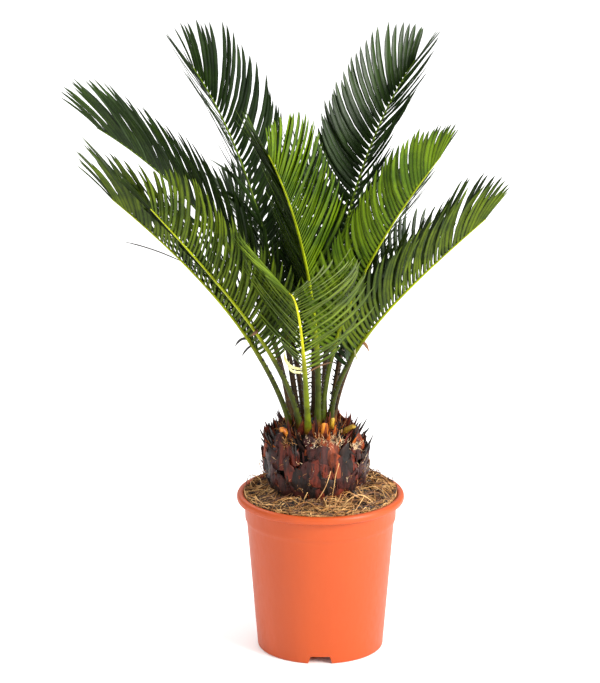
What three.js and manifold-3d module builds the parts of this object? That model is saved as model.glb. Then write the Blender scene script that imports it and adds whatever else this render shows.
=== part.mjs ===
// Sago palm in a terracotta-coloured plastic pot.
// Millimetres, +Z up, origin at the centre of the pot's flat underside, on the ground.
import * as THREE from "three";
import { mergeVertices } from "three/addons/utils/BufferGeometryUtils.js";
import Module from "manifold-3d";

const wasm = await Module();
wasm.setup();

const clearance = 0.3;

// Pot
const potHeight = 182;
const potRimRadius = 95;
const potMouthRadius = 87;
const potFootRadius = 71.5;
const potStepRadius = 83.6;
const potShoulderRadius = 86;
const potWall = 2;
const potFloor = 3;
const potStepHeight = 147;
const potStepRise = 5;
const potLipHeight = 9.5;
const potEdge = 0.8;
const potSides = 60;

// Channels under the pot's foot, each open at the outer face
const channelCount = 3;
const channelWidthAtGround = 28;
const channelWidthAtTop = 22;
const channelHeight = 9;
const channelInnerRadius = 44;
const channelOuterRadius = 80;
const channelWall = 2;
const drainHoleRadius = 4;
const drainHoleAt = 57;
const drainHoleSides = 16;

// Soil, filled up to a low mound round the trunk
const soilEdgeHeight = 171;
const soilMoundHeight = 183;
const soilMoundRadius = 54;
const soilSides = 40;

// Trunk, a squat caudex cut flat where it stands on the soil
const trunkCentreX = -3.5;
const trunkCentreY = 0;
const trunkHeadShiftX = -5;
const trunkProfile = [
  { radius: 48, height: 0 },
  { radius: 54, height: 12 },
  { radius: 57, height: 28 },
  { radius: 55.5, height: 46 },
  { radius: 51, height: 60 },
  { radius: 45, height: 70 },
  { radius: 33, height: 79 },
];

// Old leaf bases that stand out of the trunk like scales, in staggered rows
const scaleRows = 6;
const scalesInRow = 12;
const scaleLowest = 2;
const scalePitch = 11.5;
const scaleStandOut = 4.5;
const scaleTipRise = 6;
const scaleLip = 1.6;

// A collar of upright scales and cut leaf stubs round the head, and sharp spines at the sides
const stubRadius = 4.2;
const stubTopShare = 0.8;
const stubSides = 6;
const stubSink = 10;
const stubs = [
  { azimuth: 243, ring: 34, foot: 62, rise: 70, length: 18 },
  { azimuth: 298, ring: 33, foot: 66, rise: 84, length: 22 },
  { azimuth: 328, ring: 36, foot: 64, rise: 70, length: 18 },
  { azimuth: 350, ring: 40, foot: 62, rise: 48, length: 18 },
  { azimuth: 140, ring: 34, foot: 62, rise: 64, length: 18 },
  { azimuth: 60, ring: 36, foot: 62, rise: 62, length: 18 },
];
const collarScales = 16;
const collarRing = 42;
const collarFoot = 62;
const collarLength = 24;
const collarRise = 72;
const collarHalf = 6;
const collarSink = 6;
const spineRadius = 1.6;
const spineSink = 6;
const spines = [
  { azimuth: 190, foot: 50, length: 17, rise: 66 },
  { azimuth: 172, foot: 52, length: 20, rise: 52 },
  { azimuth: 205, foot: 14, length: 15, rise: 40 },
  { azimuth: 352, foot: 44, length: 26, rise: 58 },
  { azimuth: 20, foot: 58, length: 24, rise: 52 },
  { azimuth: 330, foot: 62, length: 24, rise: 60 },
  { azimuth: 4, foot: 20, length: 12, rise: 60 },
  { azimuth: 118, foot: 54, length: 18, rise: 56 },
  { azimuth: 75, foot: 50, length: 20, rise: 56 },
  { azimuth: 95, foot: 22, length: 14, rise: 48 },
];

// Fronds: a petiole and rachis with two rows of leaflets set in a V.
// A foot's height is above the mound; a bend above 0 curves early, and one below 0 curves late.
// A leaflet sets off at a wide angle to the rachis and curls towards it.
const petioleFootHalf = 3.9;
const petioleHalf = 3.1;
const rachisTipHalf = 1;
const petioleSteps = 3;
const leafletSpacing = 8.6;
const leafletRoomShare = 0.82;
const leafletWidest = 5.6;
const leafletDepth = 1.5;
const leafletKnee = 0.6;
const leafletCurl = 34;
const leafletEndShare = 0.48;
const shorteningFrom = 0.8;
const footAngle = 62;
const footAngleUntil = 0.35;
const closingFrom = 0.72;
const shorterTries = [1, 0.8, 0.6, 0.45];
const fronds = [
  { name: "frond_tall_right", foot: [3, 13, 73], azimuth: 45, rise: [90, 42], bend: -1, sweep: 0,
    length: 438, bare: 0.26, leaflet: 88, spread: 50, tip: 26, keel: 50, roll: -20 },
  { name: "frond_tall_left", foot: [-24, 8, 71], azimuth: 150, rise: [82, 49], bend: -2.1, sweep: 0,
    length: 432, bare: 0.26, leaflet: 98, spread: 36, tip: 18, keel: 44, roll: 22 },
  { name: "frond_long_left", foot: [-33, 3, 67], azimuth: 178, rise: [87, 31], bend: 0.1, sweep: 0,
    length: 429, bare: 0.26, leaflet: 118, spread: 32, tip: 20, keel: 34, roll: -8 },
  { name: "frond_low_right", foot: [13, -6, 68], azimuth: 353, rise: [100, 43], bend: 3.8, sweep: 0,
    length: 318, bare: 0.31, leaflet: 88, spread: 38, tip: 15, keel: 50, roll: 0 },
  { name: "frond_right", foot: [2, -7, 73], azimuth: 334, rise: [91, 53], bend: 1.7, sweep: 0,
    length: 368, bare: 0.26, leaflet: 78, spread: 38, tip: 9, keel: 46, roll: 4 },
  { name: "frond_front", foot: [-4, -17, 71], azimuth: 250, rise: [100, 42], bend: 0.9, sweep: 1,
    length: 406, bare: 0.26, leaflet: 104, spread: 35, tip: 10, keel: 50, roll: -4 },
  { name: "frond_low_left", foot: [-30, -9, 64], azimuth: 203, rise: [77, 42], bend: 1.8, sweep: 0,
    length: 372, bare: 0.3, leaflet: 112, spread: 33, tip: 14, keel: 38, roll: -4 },
  { name: "frond_front_left", foot: [-21, -19, 65], azimuth: 218, rise: [85, 47], bend: 4, sweep: 0,
    length: 368, bare: 0.3, leaflet: 94, spread: 38, tip: 20, keel: 38, roll: -20 },
  { name: "frond_small_front", foot: [-13, -25, 63], azimuth: 265, rise: [66, 18], bend: -2.8, sweep: -4,
    length: 290, bare: 0.4, leaflet: 106, spread: 46, tip: 26, keel: 33, roll: 8 },
  { name: "frond_back_right", foot: [13, 8, 71], azimuth: 26, rise: [85, 36], bend: 1.1, sweep: 0,
    length: 244, bare: 0.3, leaflet: 72, spread: 52, tip: 22, keel: 58, roll: 0 },
  { name: "frond_back", foot: [-7, 22, 71], azimuth: 92, rise: [86, 30], bend: 0.3, sweep: 0,
    length: 325, bare: 0.26, leaflet: 90, spread: 38, tip: 9, keel: 42, roll: 0 },
  { name: "frond_back_left", foot: [-18, 18, 69], azimuth: 120, rise: [84, 24], bend: 0.3, sweep: 0,
    length: 310, bare: 0.26, leaflet: 86, spread: 38, tip: 9, keel: 42, roll: 0 },
  { name: "frond_low_back", foot: [12, 20, 69], azimuth: 62, rise: [84, 20], bend: 0.3, sweep: 0,
    length: 310, bare: 0.26, leaflet: 86, spread: 38, tip: 9, keel: 42, roll: 0 },
];

const up = new THREE.Vector3(0, 0, 1);

function finish(color, roughness) {
  return new THREE.MeshStandardMaterial({ color, roughness, metalness: 0 });
}

function heading(azimuth, rise) {
  const a = THREE.MathUtils.degToRad(azimuth);
  const r = THREE.MathUtils.degToRad(rise);
  return new THREE.Vector3(Math.cos(r) * Math.cos(a), Math.cos(r) * Math.sin(a), Math.sin(r));
}

// A three.js geometry as a manifold solid
function toSolid(geometry) {
  geometry.deleteAttribute("normal");
  geometry.deleteAttribute("uv");
  const welded = mergeVertices(geometry, 1e-5);
  const index = welded.index.array;
  const kept = [];
  for (let i = 0; i < index.length; i += 3) {
    const [a, b, c] = [index[i], index[i + 1], index[i + 2]];
    if (a !== b && b !== c && c !== a) {
      kept.push(a, b, c);
    }
  }
  return new wasm.Manifold(new wasm.Mesh({
    numProp: 3,
    vertProperties: new Float32Array(welded.attributes.position.array),
    triVerts: new Uint32Array(kept),
  }));
}

// A manifold solid as a named three.js mesh
function toMesh(solid, name, material) {
  const mesh = solid.getMesh();
  const geometry = new THREE.BufferGeometry();
  geometry.setAttribute("position", new THREE.BufferAttribute(new Float32Array(mesh.vertProperties), 3));
  geometry.setIndex(new THREE.BufferAttribute(new Uint32Array(mesh.triVerts), 1));
  geometry.computeVertexNormals();
  const part = new THREE.Mesh(geometry, material);
  part.name = name;
  return part;
}

// A solid of revolution about +Z from [radius, height] points that begin and end on the axis
function revolve(profile, sides) {
  const lathe = new THREE.LatheGeometry(profile.map(([r, h]) => new THREE.Vector2(r, h)), sides);
  lathe.rotateX(Math.PI / 2);
  return toSolid(lathe);
}

// A closed skin over rings of points, each ring with the same count, closed at both ends
function skin(rings) {
  const count = rings[0].length;
  const positions = rings.flat().flatMap((p) => [p.x, p.y, p.z]);
  const index = [];
  for (let k = 0; k + 1 < rings.length; k += 1) {
    for (let i = 0; i < count; i += 1) {
      const a = k * count + i;
      const b = k * count + ((i + 1) % count);
      index.push(a, b, b + count, a, b + count, a + count);
    }
  }
  const last = (rings.length - 1) * count;
  for (let i = 1; i + 1 < count; i += 1) {
    index.push(0, i + 1, i, last, last + i, last + i + 1);
  }
  const geometry = new THREE.BufferGeometry();
  geometry.setAttribute("position", new THREE.Float32BufferAttribute(positions, 3));
  geometry.setIndex(index);
  return toSolid(geometry);
}

// A closed skin over rings that narrows to one point after the last ring
function spike(rings, tip) {
  const count = rings[0].length;
  const positions = rings.flat().concat([tip]).flatMap((p) => [p.x, p.y, p.z]);
  const index = [];
  for (let k = 0; k + 1 < rings.length; k += 1) {
    for (let i = 0; i < count; i += 1) {
      const a = k * count + i;
      const b = k * count + ((i + 1) % count);
      index.push(a, b, b + count, a, b + count, a + count);
    }
  }
  const last = (rings.length - 1) * count;
  const point = rings.length * count;
  for (let i = 0; i < count; i += 1) {
    index.push(last + i, last + ((i + 1) % count), point);
  }
  for (let i = 1; i + 1 < count; i += 1) {
    index.push(0, i + 1, i);
  }
  const geometry = new THREE.BufferGeometry();
  geometry.setAttribute("position", new THREE.Float32BufferAttribute(positions, 3));
  geometry.setIndex(index);
  return toSolid(geometry);
}

// A regular ring of points round a centre, square to an axis, counter-clockwise seen from the tip
function ringAround(centre, axis, side, radius, count) {
  const other = new THREE.Vector3().crossVectors(axis, side);
  return Array.from({ length: count }, (_, i) => {
    const turn = (i / count) * Math.PI * 2;
    return centre.clone()
      .addScaledVector(side, radius * Math.cos(turn))
      .addScaledVector(other, radius * Math.sin(turn));
  });
}

// Joins solids pair by pair
function joinAll(solids) {
  let layer = solids;
  while (layer.length > 1) {
    const next = [];
    for (let i = 0; i < layer.length; i += 2) {
      next.push(i + 1 < layer.length ? layer[i].add(layer[i + 1]) : layer[i]);
    }
    layer = next;
  }
  return layer[0];
}

// Pot: revolved shell with raised channels under its foot and a drain hole in each
function potOuterProfile() {
  return [
    [0, 0],
    [potFootRadius - potEdge, 0],
    [potFootRadius, potEdge],
    [potStepRadius, potStepHeight],
    [potShoulderRadius - potEdge, potStepHeight + potStepRise],
    [potShoulderRadius, potHeight - potLipHeight],
    [potRimRadius - 2, potHeight - potLipHeight],
    [potRimRadius, potHeight - potLipHeight + 2.2],
    [potRimRadius, potHeight - 3.2],
    [potRimRadius - 1.1, potHeight - 1.1],
    [potRimRadius - 3.2, potHeight],
    [0, potHeight],
  ];
}

// The inside of the pot, drawn in by an inset that leaves room between pot and soil
function potInnerProfile(inset, top) {
  const slope = (potStepRadius - potFootRadius) / potStepHeight;
  const points = [
    [potFootRadius - potWall + slope * potFloor, potFloor + inset],
    [potStepRadius - potWall, potStepHeight],
    [potShoulderRadius - potWall - potEdge, potStepHeight + potStepRise],
    [potShoulderRadius - potWall, potHeight - potLipHeight],
    [potMouthRadius - 0.8, potHeight - 4],
    [potMouthRadius, potHeight - 1.4],
    [potMouthRadius + 1.8, potHeight],
    [potMouthRadius + 1.8, potHeight + 1],
  ];
  return points.filter(([, h]) => h <= top).map(([r, h]) => [r - inset, h]);
}

// A block that runs outwards under the foot, wider at its bottom than at its top
function channelBlock(azimuth, grow, bottom, inner, outer) {
  const along = heading(azimuth, 0);
  const across = new THREE.Vector3().crossVectors(up, along);
  const low = channelWidthAtGround / 2 + grow;
  const high = channelWidthAtTop / 2 + grow;
  const section = (distance) => [[-low, bottom], [low, bottom], [high, channelHeight + grow],
    [-high, channelHeight + grow]].map(([w, h]) => along.clone().multiplyScalar(distance)
    .addScaledVector(across, w).setZ(h));
  return skin([section(inner), section(outer)]);
}

function channelAzimuths() {
  return Array.from({ length: channelCount }, (_, k) => 270 + (k * 360) / channelCount);
}

function buildPot() {
  const cavityProfile = [[0, potFloor], ...potInnerProfile(0, potHeight + 1), [0, potHeight + 1]];
  const casings = channelAzimuths().map((azimuth) => channelBlock(azimuth, channelWall, -1,
    channelInnerRadius - channelWall, channelOuterRadius));
  const cavity = revolve(cavityProfile, potSides).subtract(joinAll(casings));
  const cuts = channelAzimuths().flatMap((azimuth) => {
    const at = heading(azimuth, 0).multiplyScalar(drainHoleAt);
    const side = new THREE.Vector3(1, 0, 0);
    const hole = skin([ringAround(at.clone().setZ(-1), up, side, drainHoleRadius, drainHoleSides),
      ringAround(at.clone().setZ(channelHeight + channelWall + 1), up, side, drainHoleRadius,
        drainHoleSides)]);
    return [channelBlock(azimuth, 0, -1, channelInnerRadius, channelOuterRadius), hole];
  });
  return revolve(potOuterProfile(), potSides).subtract(cavity).subtract(joinAll(cuts));
}

// Soil: fills the pot, clear of its wall, floor and channel casings
function buildSoil() {
  const wall = potInnerProfile(clearance, soilEdgeHeight);
  const edgeRadius = potShoulderRadius - potWall - clearance - 0.1;
  const profile = [[0, potFloor + clearance], ...wall, [edgeRadius, soilEdgeHeight],
    [soilMoundRadius, soilMoundHeight], [0, soilMoundHeight]];
  const casings = channelAzimuths().map((azimuth) => channelBlock(azimuth, channelWall + clearance, -1,
    channelInnerRadius - channelWall - clearance, channelOuterRadius));
  return revolve(profile, soilSides).subtract(joinAll(casings));
}

// Trunk: radius and axis at a height above its flat cut
function trunkRadiusAt(height) {
  const above = trunkProfile.findIndex((row) => row.height > height);
  if (above < 0) {
    return trunkProfile[trunkProfile.length - 1].radius;
  }
  const low = trunkProfile[Math.max(above - 1, 0)];
  const high = trunkProfile[Math.max(above, 1)];
  return low.radius + ((high.radius - low.radius) * (height - low.height)) / (high.height - low.height);
}

function trunkAxisAt(height) {
  const top = trunkProfile[trunkProfile.length - 1].height;
  return new THREE.Vector3(trunkCentreX + (trunkHeadShiftX * height) / top, trunkCentreY,
    soilMoundHeight + clearance + height);
}

// Rings of the trunk's skin: each row of scales has a ring of tips and a ring tucked in above them
function trunkRings() {
  const columns = 2 * scalesInRow;
  const top = trunkProfile[trunkProfile.length - 1].height;
  const ring = (height, lift, standOut, odd) => Array.from({ length: columns }, (_, i) => {
    const middle = (i + odd) % 2 === 0 ? 1 : 0;
    const at = Math.min(height + lift * middle, top - 1);
    return trunkAxisAt(at).addScaledVector(heading((i * 360) / columns, 0),
      trunkRadiusAt(at) + standOut * middle);
  });
  const rings = [ring(0, 0, 0, 0)];
  for (let row = 0; row < scaleRows; row += 1) {
    const height = scaleLowest + row * scalePitch;
    rings.push(ring(height, scaleTipRise, scaleStandOut, row % 2));
    rings.push(ring(height + scaleLip, scaleTipRise, 0, row % 2));
  }
  rings.push(ring(top - 1, 0, 0, 0), ringAround(trunkAxisAt(top), up, new THREE.Vector3(1, 0, 0),
    trunkProfile[trunkProfile.length - 1].radius, columns));
  return rings;
}

function buildStub({ azimuth, ring, foot, rise, length }) {
  const axis = heading(azimuth, rise);
  const side = heading(azimuth - 90, 0);
  const start = trunkAxisAt(foot).addScaledVector(heading(azimuth, 0), ring).addScaledVector(axis, -stubSink);
  const end = start.clone().addScaledVector(axis, stubSink + length);
  return skin([ringAround(start, axis, side, stubRadius, stubSides),
    ringAround(end, axis, side, stubRadius * stubTopShare, stubSides)]);
}

function buildCollarScale(_, i) {
  const azimuth = ((i + 0.5) * 360) / collarScales;
  const axis = heading(azimuth, collarRise);
  const across = heading(azimuth - 90, 0);
  const out = new THREE.Vector3().crossVectors(across, axis);
  const corners = [[1, 0], [0, -0.6], [-1, 0], [0, 0.6]];
  const ring = (along, share) => corners.map(([a, o]) => trunkAxisAt(collarFoot)
    .addScaledVector(heading(azimuth, 0), collarRing).addScaledVector(axis, along)
    .addScaledVector(across, a * collarHalf * share).addScaledVector(out, o * collarHalf * share));
  const tip = trunkAxisAt(collarFoot).addScaledVector(heading(azimuth, 0), collarRing)
    .addScaledVector(axis, collarLength);
  return spike([ring(-collarSink, 0.8), ring(collarLength * 0.5, 1)], tip);
}

function buildSpine({ azimuth, foot, length, rise }) {
  const axis = heading(azimuth, rise);
  const side = heading(azimuth - 90, 0);
  const skinPoint = trunkAxisAt(foot).addScaledVector(heading(azimuth, 0), trunkRadiusAt(foot));
  const start = skinPoint.clone().addScaledVector(axis, -spineSink);
  return spike([ringAround(start, axis, side, spineRadius, 3)], skinPoint.addScaledVector(axis, length));
}

function buildTrunk(sockets) {
  const collar = Array.from({ length: collarScales }, buildCollarScale);
  const pieces = [skin(trunkRings()), ...collar, ...stubs.map(buildStub), ...spines.map(buildSpine)];
  return joinAll(pieces).subtract(joinAll(sockets));
}

// The frond's line: a place, a direction, its side and its upper face at a share of its length
function frondFrame(frond, share) {
  const azimuth = frond.azimuth + frond.sweep * share * share;
  const bent = (1 - Math.exp(-frond.bend * share)) / (1 - Math.exp(-frond.bend));
  const rise = frond.rise[0] + (frond.rise[1] - frond.rise[0]) * bent;
  const along = heading(azimuth, rise);
  const side = heading(azimuth - 90, 0);
  const face = new THREE.Vector3().crossVectors(side, along);
  return { along, side, face };
}

function frondPoint(frond, share) {
  const steps = 96;
  const [footX, footY, footHeight] = frond.foot;
  const place = new THREE.Vector3(footX, footY, soilMoundHeight + footHeight);
  const whole = share * steps;
  for (let i = 0; i < whole; i += 1) {
    const part = Math.min(1, whole - i);
    const { along } = frondFrame(frond, (i + part / 2) / steps);
    place.addScaledVector(along, (frond.length * part) / steps);
  }
  return place;
}

// Half the thickness of the petiole and rachis at a share of the length
function rachisHalfAt(frond, share) {
  const flare = Math.max(0, 1 - (share * petioleSteps) / frond.bare);
  return petioleHalf + (rachisTipHalf - petioleHalf) * share + (petioleFootHalf - petioleHalf) * flare;
}

// The four corners of the rachis: right low, left low, left high, right high
function rachisRing(frond, share, grow) {
  const { along, side, face } = frondFrame(frond, share);
  const half = rachisHalfAt(frond, share) + grow;
  const centre = frondPoint(frond, share).addScaledVector(along, share === 0 ? -grow : 0);
  return [[1, -1], [-1, -1], [-1, 1], [1, 1]].map(([s, f]) => centre.clone()
    .addScaledVector(side, s * half).addScaledVector(face, f * half));
}

function pairCount(frond) {
  return Math.round((frond.length * (1 - frond.bare)) / leafletSpacing);
}

// The shares of the length at which the frond has a ring: the petiole's, then one between leaflets
function ringShares(frond) {
  const pairs = pairCount(frond);
  const petiole = Array.from({ length: petioleSteps }, (_, k) => (frond.bare * k) / petioleSteps);
  const rachis = Array.from({ length: pairs + 1 }, (_, k) => frond.bare + ((1 - frond.bare) * k) / pairs);
  return [...petiole, ...rachis];
}

// Share of the full leaflet length, and angle to the rachis, from the first pair (0) to the last (1)
function leafletShareAt(t) {
  const growing = Math.min(1, 0.4 + t / 0.2);
  const shortening = Math.max(0, (t - shorteningFrom) / (1 - shorteningFrom)) ** 1.3;
  return growing - (1 - leafletEndShare) * shortening;
}

function leafletAngleAt(frond, t) {
  const opening = (footAngle - frond.spread) * Math.max(0, 1 - t / footAngleUntil);
  const closing = (frond.spread - frond.tip) * Math.max(0, (t - closingFrom) / (1 - closingFrom)) ** 1.4;
  return frond.spread + opening - closing;
}

// Width at the knee: a share of the room between one leaflet and the next
function leafletWidthAt(frond, t) {
  const step = 1 / pairCount(frond);
  const next = Math.min(1, t + step);
  const angle = THREE.MathUtils.degToRad(leafletAngleAt(frond, t));
  const fan = THREE.MathUtils.degToRad(leafletAngleAt(frond, t) - leafletAngleAt(frond, next));
  const reach = frond.leaflet * leafletShareAt(t) * leafletKnee;
  return Math.min(leafletWidest, leafletRoomShare * (leafletSpacing * Math.sin(angle) + reach * fan));
}

// One leaflet between two rings of the rachis: four corners at its root, three at its knee, and a tip.
// A shortened one follows the same course, so it stays clear of its neighbours.
function leafletShape(frond, rings, pair, hand, scale) {
  const t = (pair + 0.5) / pairCount(frond);
  const share = frond.bare + (1 - frond.bare) * t;
  const { along, side, face } = frondFrame(frond, share);
  const turn = THREE.MathUtils.degToRad(frond.roll);
  const rolledSide = side.clone().multiplyScalar(Math.cos(turn)).addScaledVector(face, Math.sin(turn));
  const rolledFace = face.clone().multiplyScalar(Math.cos(turn)).addScaledVector(side, -Math.sin(turn));
  const keel = THREE.MathUtils.degToRad(frond.keel);
  const outward = rolledSide.multiplyScalar(hand * Math.cos(keel))
    .addScaledVector(rolledFace, Math.sin(keel));
  const towards = (degrees) => {
    const angle = THREE.MathUtils.degToRad(degrees);
    return along.clone().multiplyScalar(Math.cos(angle)).addScaledVector(outward, Math.sin(angle));
  };
  const angle = leafletAngleAt(frond, t);
  const curl = leafletCurl * Math.min(1, angle / frond.spread);
  const inner = angle + curl * (0.5 - leafletKnee / 2);
  const outer = angle - (curl * leafletKnee) / 2;
  const bent = scale > leafletKnee;
  const atKnee = bent ? angle + curl * (0.5 - leafletKnee) : inner;
  const kneeShare = bent ? leafletKnee : scale * leafletKnee;
  const wide = towards(atKnee - 90);
  const under = new THREE.Vector3().crossVectors(towards(atKnee), wide).multiplyScalar(-hand);
  const length = frond.leaflet * leafletShareAt(t);
  const width = leafletWidthAt(frond, t);
  const here = petioleSteps + pair;
  const [low, high] = hand > 0 ? [0, 3] : [1, 2];
  const root = [rings[here][low], rings[here + 1][low], rings[here + 1][high], rings[here][high]];
  const knee = frondPoint(frond, share).addScaledVector(towards(inner), length * kneeShare);
  const tip = knee.clone().addScaledVector(towards(bent ? outer : inner), length * (scale - kneeShare));
  const near = knee.clone().addScaledVector(wide, -width / 2);
  const far = knee.clone().addScaledVector(wide, width / 2);
  return { root, knee: [near, knee.clone().addScaledVector(under, leafletDepth), far], tip };
}

// A frond as one closed skin: its rings, with a leaflet drawn out of each side face that has one
function frondSolid(frond, leaflets) {
  const shares = ringShares(frond);
  const rings = shares.map((share) => rachisRing(frond, share, 0));
  const points = rings.flat();
  const index = [];
  const quad = (a, b, c, d) => index.push(a, b, c, a, c, d);
  const last = (rings.length - 1) * 4;
  quad(0, 3, 2, 1);
  quad(last, last + 1, last + 2, last + 3);
  for (let k = 0; k + 1 < rings.length; k += 1) {
    const base = k * 4;
    quad(base, base + 1, base + 5, base + 4);
    quad(base + 2, base + 3, base + 7, base + 6);
    for (const hand of [1, -1]) {
      const [low, high] = hand > 0 ? [base, base + 3] : [base + 1, base + 2];
      const face = (...corners) => index.push(...(hand > 0 ? corners : corners.reverse()));
      const leaflet = leaflets.find((one) => one.pair === k - petioleSteps && one.hand === hand);
      if (leaflet) {
        const near = points.length;
        const [keel, far, tip] = [near + 1, near + 2, near + 3];
        points.push(...leaflet.knee, leaflet.tip);
        face(low, low + 4, keel);
        face(low + 4, far, keel);
        face(low + 4, high + 4, far);
        face(high + 4, high, near);
        face(high + 4, near, far);
        face(high, low, keel);
        face(high, keel, near);
        face(keel, far, tip);
        face(far, near, tip);
        face(near, keel, tip);
      } else {
        face(low, low + 4, high + 4);
        face(low, high + 4, high);
      }
    }
  }
  const geometry = new THREE.BufferGeometry();
  geometry.setAttribute("position", new THREE.Float32BufferAttribute(points.flatMap((p) => p.toArray()), 3));
  geometry.setIndex(index);
  return toSolid(geometry);
}

// The socket of a petiole in the trunk: its first length, grown by the clearance
function socketSolid(frond) {
  const [foot, first] = ringShares(frond);
  return skin([rachisRing(frond, foot, clearance), rachisRing(frond, first, clearance)]);
}

// A convex block for the clearance test: its corners, its edges and its faces' directions
function convexBlock(first, second) {
  const points = [...first, ...second];
  const box = new THREE.Box3().setFromPoints(points).expandByScalar(clearance);
  const edges = [];
  const normals = [];
  const edge = (a, b) => new THREE.Vector3().subVectors(b, a);
  const around = (ring) => ring.forEach((point, i) => edges.push(edge(point, ring[(i + 1) % ring.length])));
  if (second.length > 1) {
    around(second);
    normals.push(new THREE.Vector3().crossVectors(edge(second[0], second[1]), edge(second[0], second[2])));
  }
  around(first);
  normals.push(new THREE.Vector3().crossVectors(edge(first[0], first[1]), edge(first[0], first[2])));
  for (const from of first) {
    for (const to of second) {
      edges.push(edge(from, to));
    }
  }
  first.forEach((point, i) => {
    const side = edge(point, first[(i + 1) % first.length]);
    second.forEach((to) => normals.push(new THREE.Vector3().crossVectors(side, edge(point, to))));
  });
  return { points, box, edges, normals };
}

function span(points, axis) {
  let low = Infinity;
  let high = -Infinity;
  for (const point of points) {
    const at = point.dot(axis);
    low = Math.min(low, at);
    high = Math.max(high, at);
  }
  return [low, high];
}

// True when some direction separates two convex blocks by the clearance
function apart(a, b) {
  if (!a.box.intersectsBox(b.box)) {
    return true;
  }
  const separates = (axis) => {
    const size = axis.length();
    if (size < 1e-6) {
      return false;
    }
    axis.divideScalar(size);
    const [lowA, highA] = span(a.points, axis);
    const [lowB, highB] = span(b.points, axis);
    return lowA - highB > clearance || lowB - highA > clearance;
  };
  if ([...a.normals, ...b.normals].some((normal) => separates(normal.clone()))) {
    return true;
  }
  return a.edges.some((from) => b.edges.some((to) => separates(new THREE.Vector3().crossVectors(from, to))));
}

function leafletBlocks({ root, knee, tip }) {
  return [convexBlock(root, knee), convexBlock(knee, [tip])];
}

// Every frond's leaflets, shortened or left out where they would come too near another frond
function placeLeaflets() {
  const rings = fronds.map((frond) => ringShares(frond).map((share) => rachisRing(frond, share, 0)));
  const lines = rings.map((row) => row.slice(1).map((ring, k) => convexBlock(row[k], ring)));
  const placed = fronds.map(() => []);
  const taken = fronds.map(() => []);
  fronds.forEach((frond, own) => {
    const others = () => [...lines, ...taken].filter((_, i) => i % fronds.length !== own).flat();
    const around = others();
    for (let pair = 0; pair < pairCount(frond); pair += 1) {
      for (const hand of [1, -1]) {
        const leaflet = shorterTries.map((scale) => leafletShape(frond, rings[own], pair, hand, scale))
          .find((one) => leafletBlocks(one).every((block) => around.every((other) => apart(block, other))));
        if (leaflet) {
          placed[own].push({ pair, hand, ...leaflet });
          taken[own].push(...leafletBlocks(leaflet));
        }
      }
    }
  });
  return placed;
}

const group = new THREE.Group();
group.name = "sago_palm";
const potFinish = finish(0xeb7344, 0.45);
const soilFinish = finish(0x4a3424, 0.95);
const trunkFinish = finish(0x4a2620, 0.8);
const frondFinish = finish(0x4f8028, 0.5);

const leaflets = placeLeaflets();
group.add(toMesh(buildPot(), "pot", potFinish));
group.add(toMesh(buildSoil(), "soil", soilFinish));
group.add(toMesh(buildTrunk(fronds.map(socketSolid)), "trunk", trunkFinish));
fronds.forEach((frond, i) => group.add(toMesh(frondSolid(frond, leaflets[i]), frond.name, frondFinish)));

export default group;
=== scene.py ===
"""A sago palm in a terracotta-coloured plastic pot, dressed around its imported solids.

Sizes in the dataclasses are millimetres and degrees, in the frame of the solids: the pot stands on
z = 0, its axis is the z axis, and the viewer stands at -y. Every mesh is made in metres.
"""

from __future__ import annotations

import logging
import math
import zlib
from dataclasses import dataclass, field
from enum import Enum
from typing import Sequence

import bmesh
import bpy
import numpy as np
from mathutils import Matrix, Vector


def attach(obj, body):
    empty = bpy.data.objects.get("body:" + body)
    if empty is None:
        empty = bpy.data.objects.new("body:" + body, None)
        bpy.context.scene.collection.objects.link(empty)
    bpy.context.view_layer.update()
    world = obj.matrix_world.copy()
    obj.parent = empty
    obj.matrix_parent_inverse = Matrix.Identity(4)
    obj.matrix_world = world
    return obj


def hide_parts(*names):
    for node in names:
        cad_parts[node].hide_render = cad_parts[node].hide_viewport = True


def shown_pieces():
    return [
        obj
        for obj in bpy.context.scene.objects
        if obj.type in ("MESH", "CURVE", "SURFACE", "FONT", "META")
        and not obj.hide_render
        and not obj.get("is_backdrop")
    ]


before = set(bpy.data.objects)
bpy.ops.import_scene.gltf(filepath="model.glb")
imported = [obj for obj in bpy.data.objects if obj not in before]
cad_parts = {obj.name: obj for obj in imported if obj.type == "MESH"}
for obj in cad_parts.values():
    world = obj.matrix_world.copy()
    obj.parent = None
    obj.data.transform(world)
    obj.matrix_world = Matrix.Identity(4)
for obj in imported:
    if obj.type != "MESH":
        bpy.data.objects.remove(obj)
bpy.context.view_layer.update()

MM = 0.001
GOLDEN_TURN = 180.0 * (3.0 - math.sqrt(5.0))
BODY = "root"
# The point attribute that dims leaflet colours: painted shade at their edges, times a random
# brightness per leaflet.
SHADE = "shade"
UP = np.array([0.0, 0.0, 1.0])
EAST = np.array([1.0, 0.0, 0.0])
STEEP = 0.9

log = logging.getLogger("sago_palm")

Colour = tuple[int, int, int]
Triple = tuple[float, float, float]
Shape = tuple[np.ndarray, np.ndarray]
Material = bpy.types.Material
Mesh = bpy.types.Mesh
Piece = bpy.types.Object
Tree = bpy.types.NodeTree
Node = bpy.types.Node
Socket = bpy.types.NodeSocket


class Crease(Enum):
    """The angle in degrees past which an edge is sharp, by what the edge is on."""

    CRUMB = 30.0
    POT = 38.0
    STUB = 40.0
    SCALE = 42.0
    LEAFLET = 48.0
    STALK = 60.0
    MOUND = 70.0
    FIBRE = 80.0


# ---------------------------------------------------------------- small helpers


def seeded(words: str) -> np.random.Generator:
    """A random source that gives the same draws for the same words."""
    return np.random.default_rng(zlib.crc32(words.encode()))


def picked(draw: np.random.Generator, shares: Sequence[float]) -> int:
    """Draw a number from 0 up, each as often as its share says."""
    return int(draw.choice(len(shares), p=shares))


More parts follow.
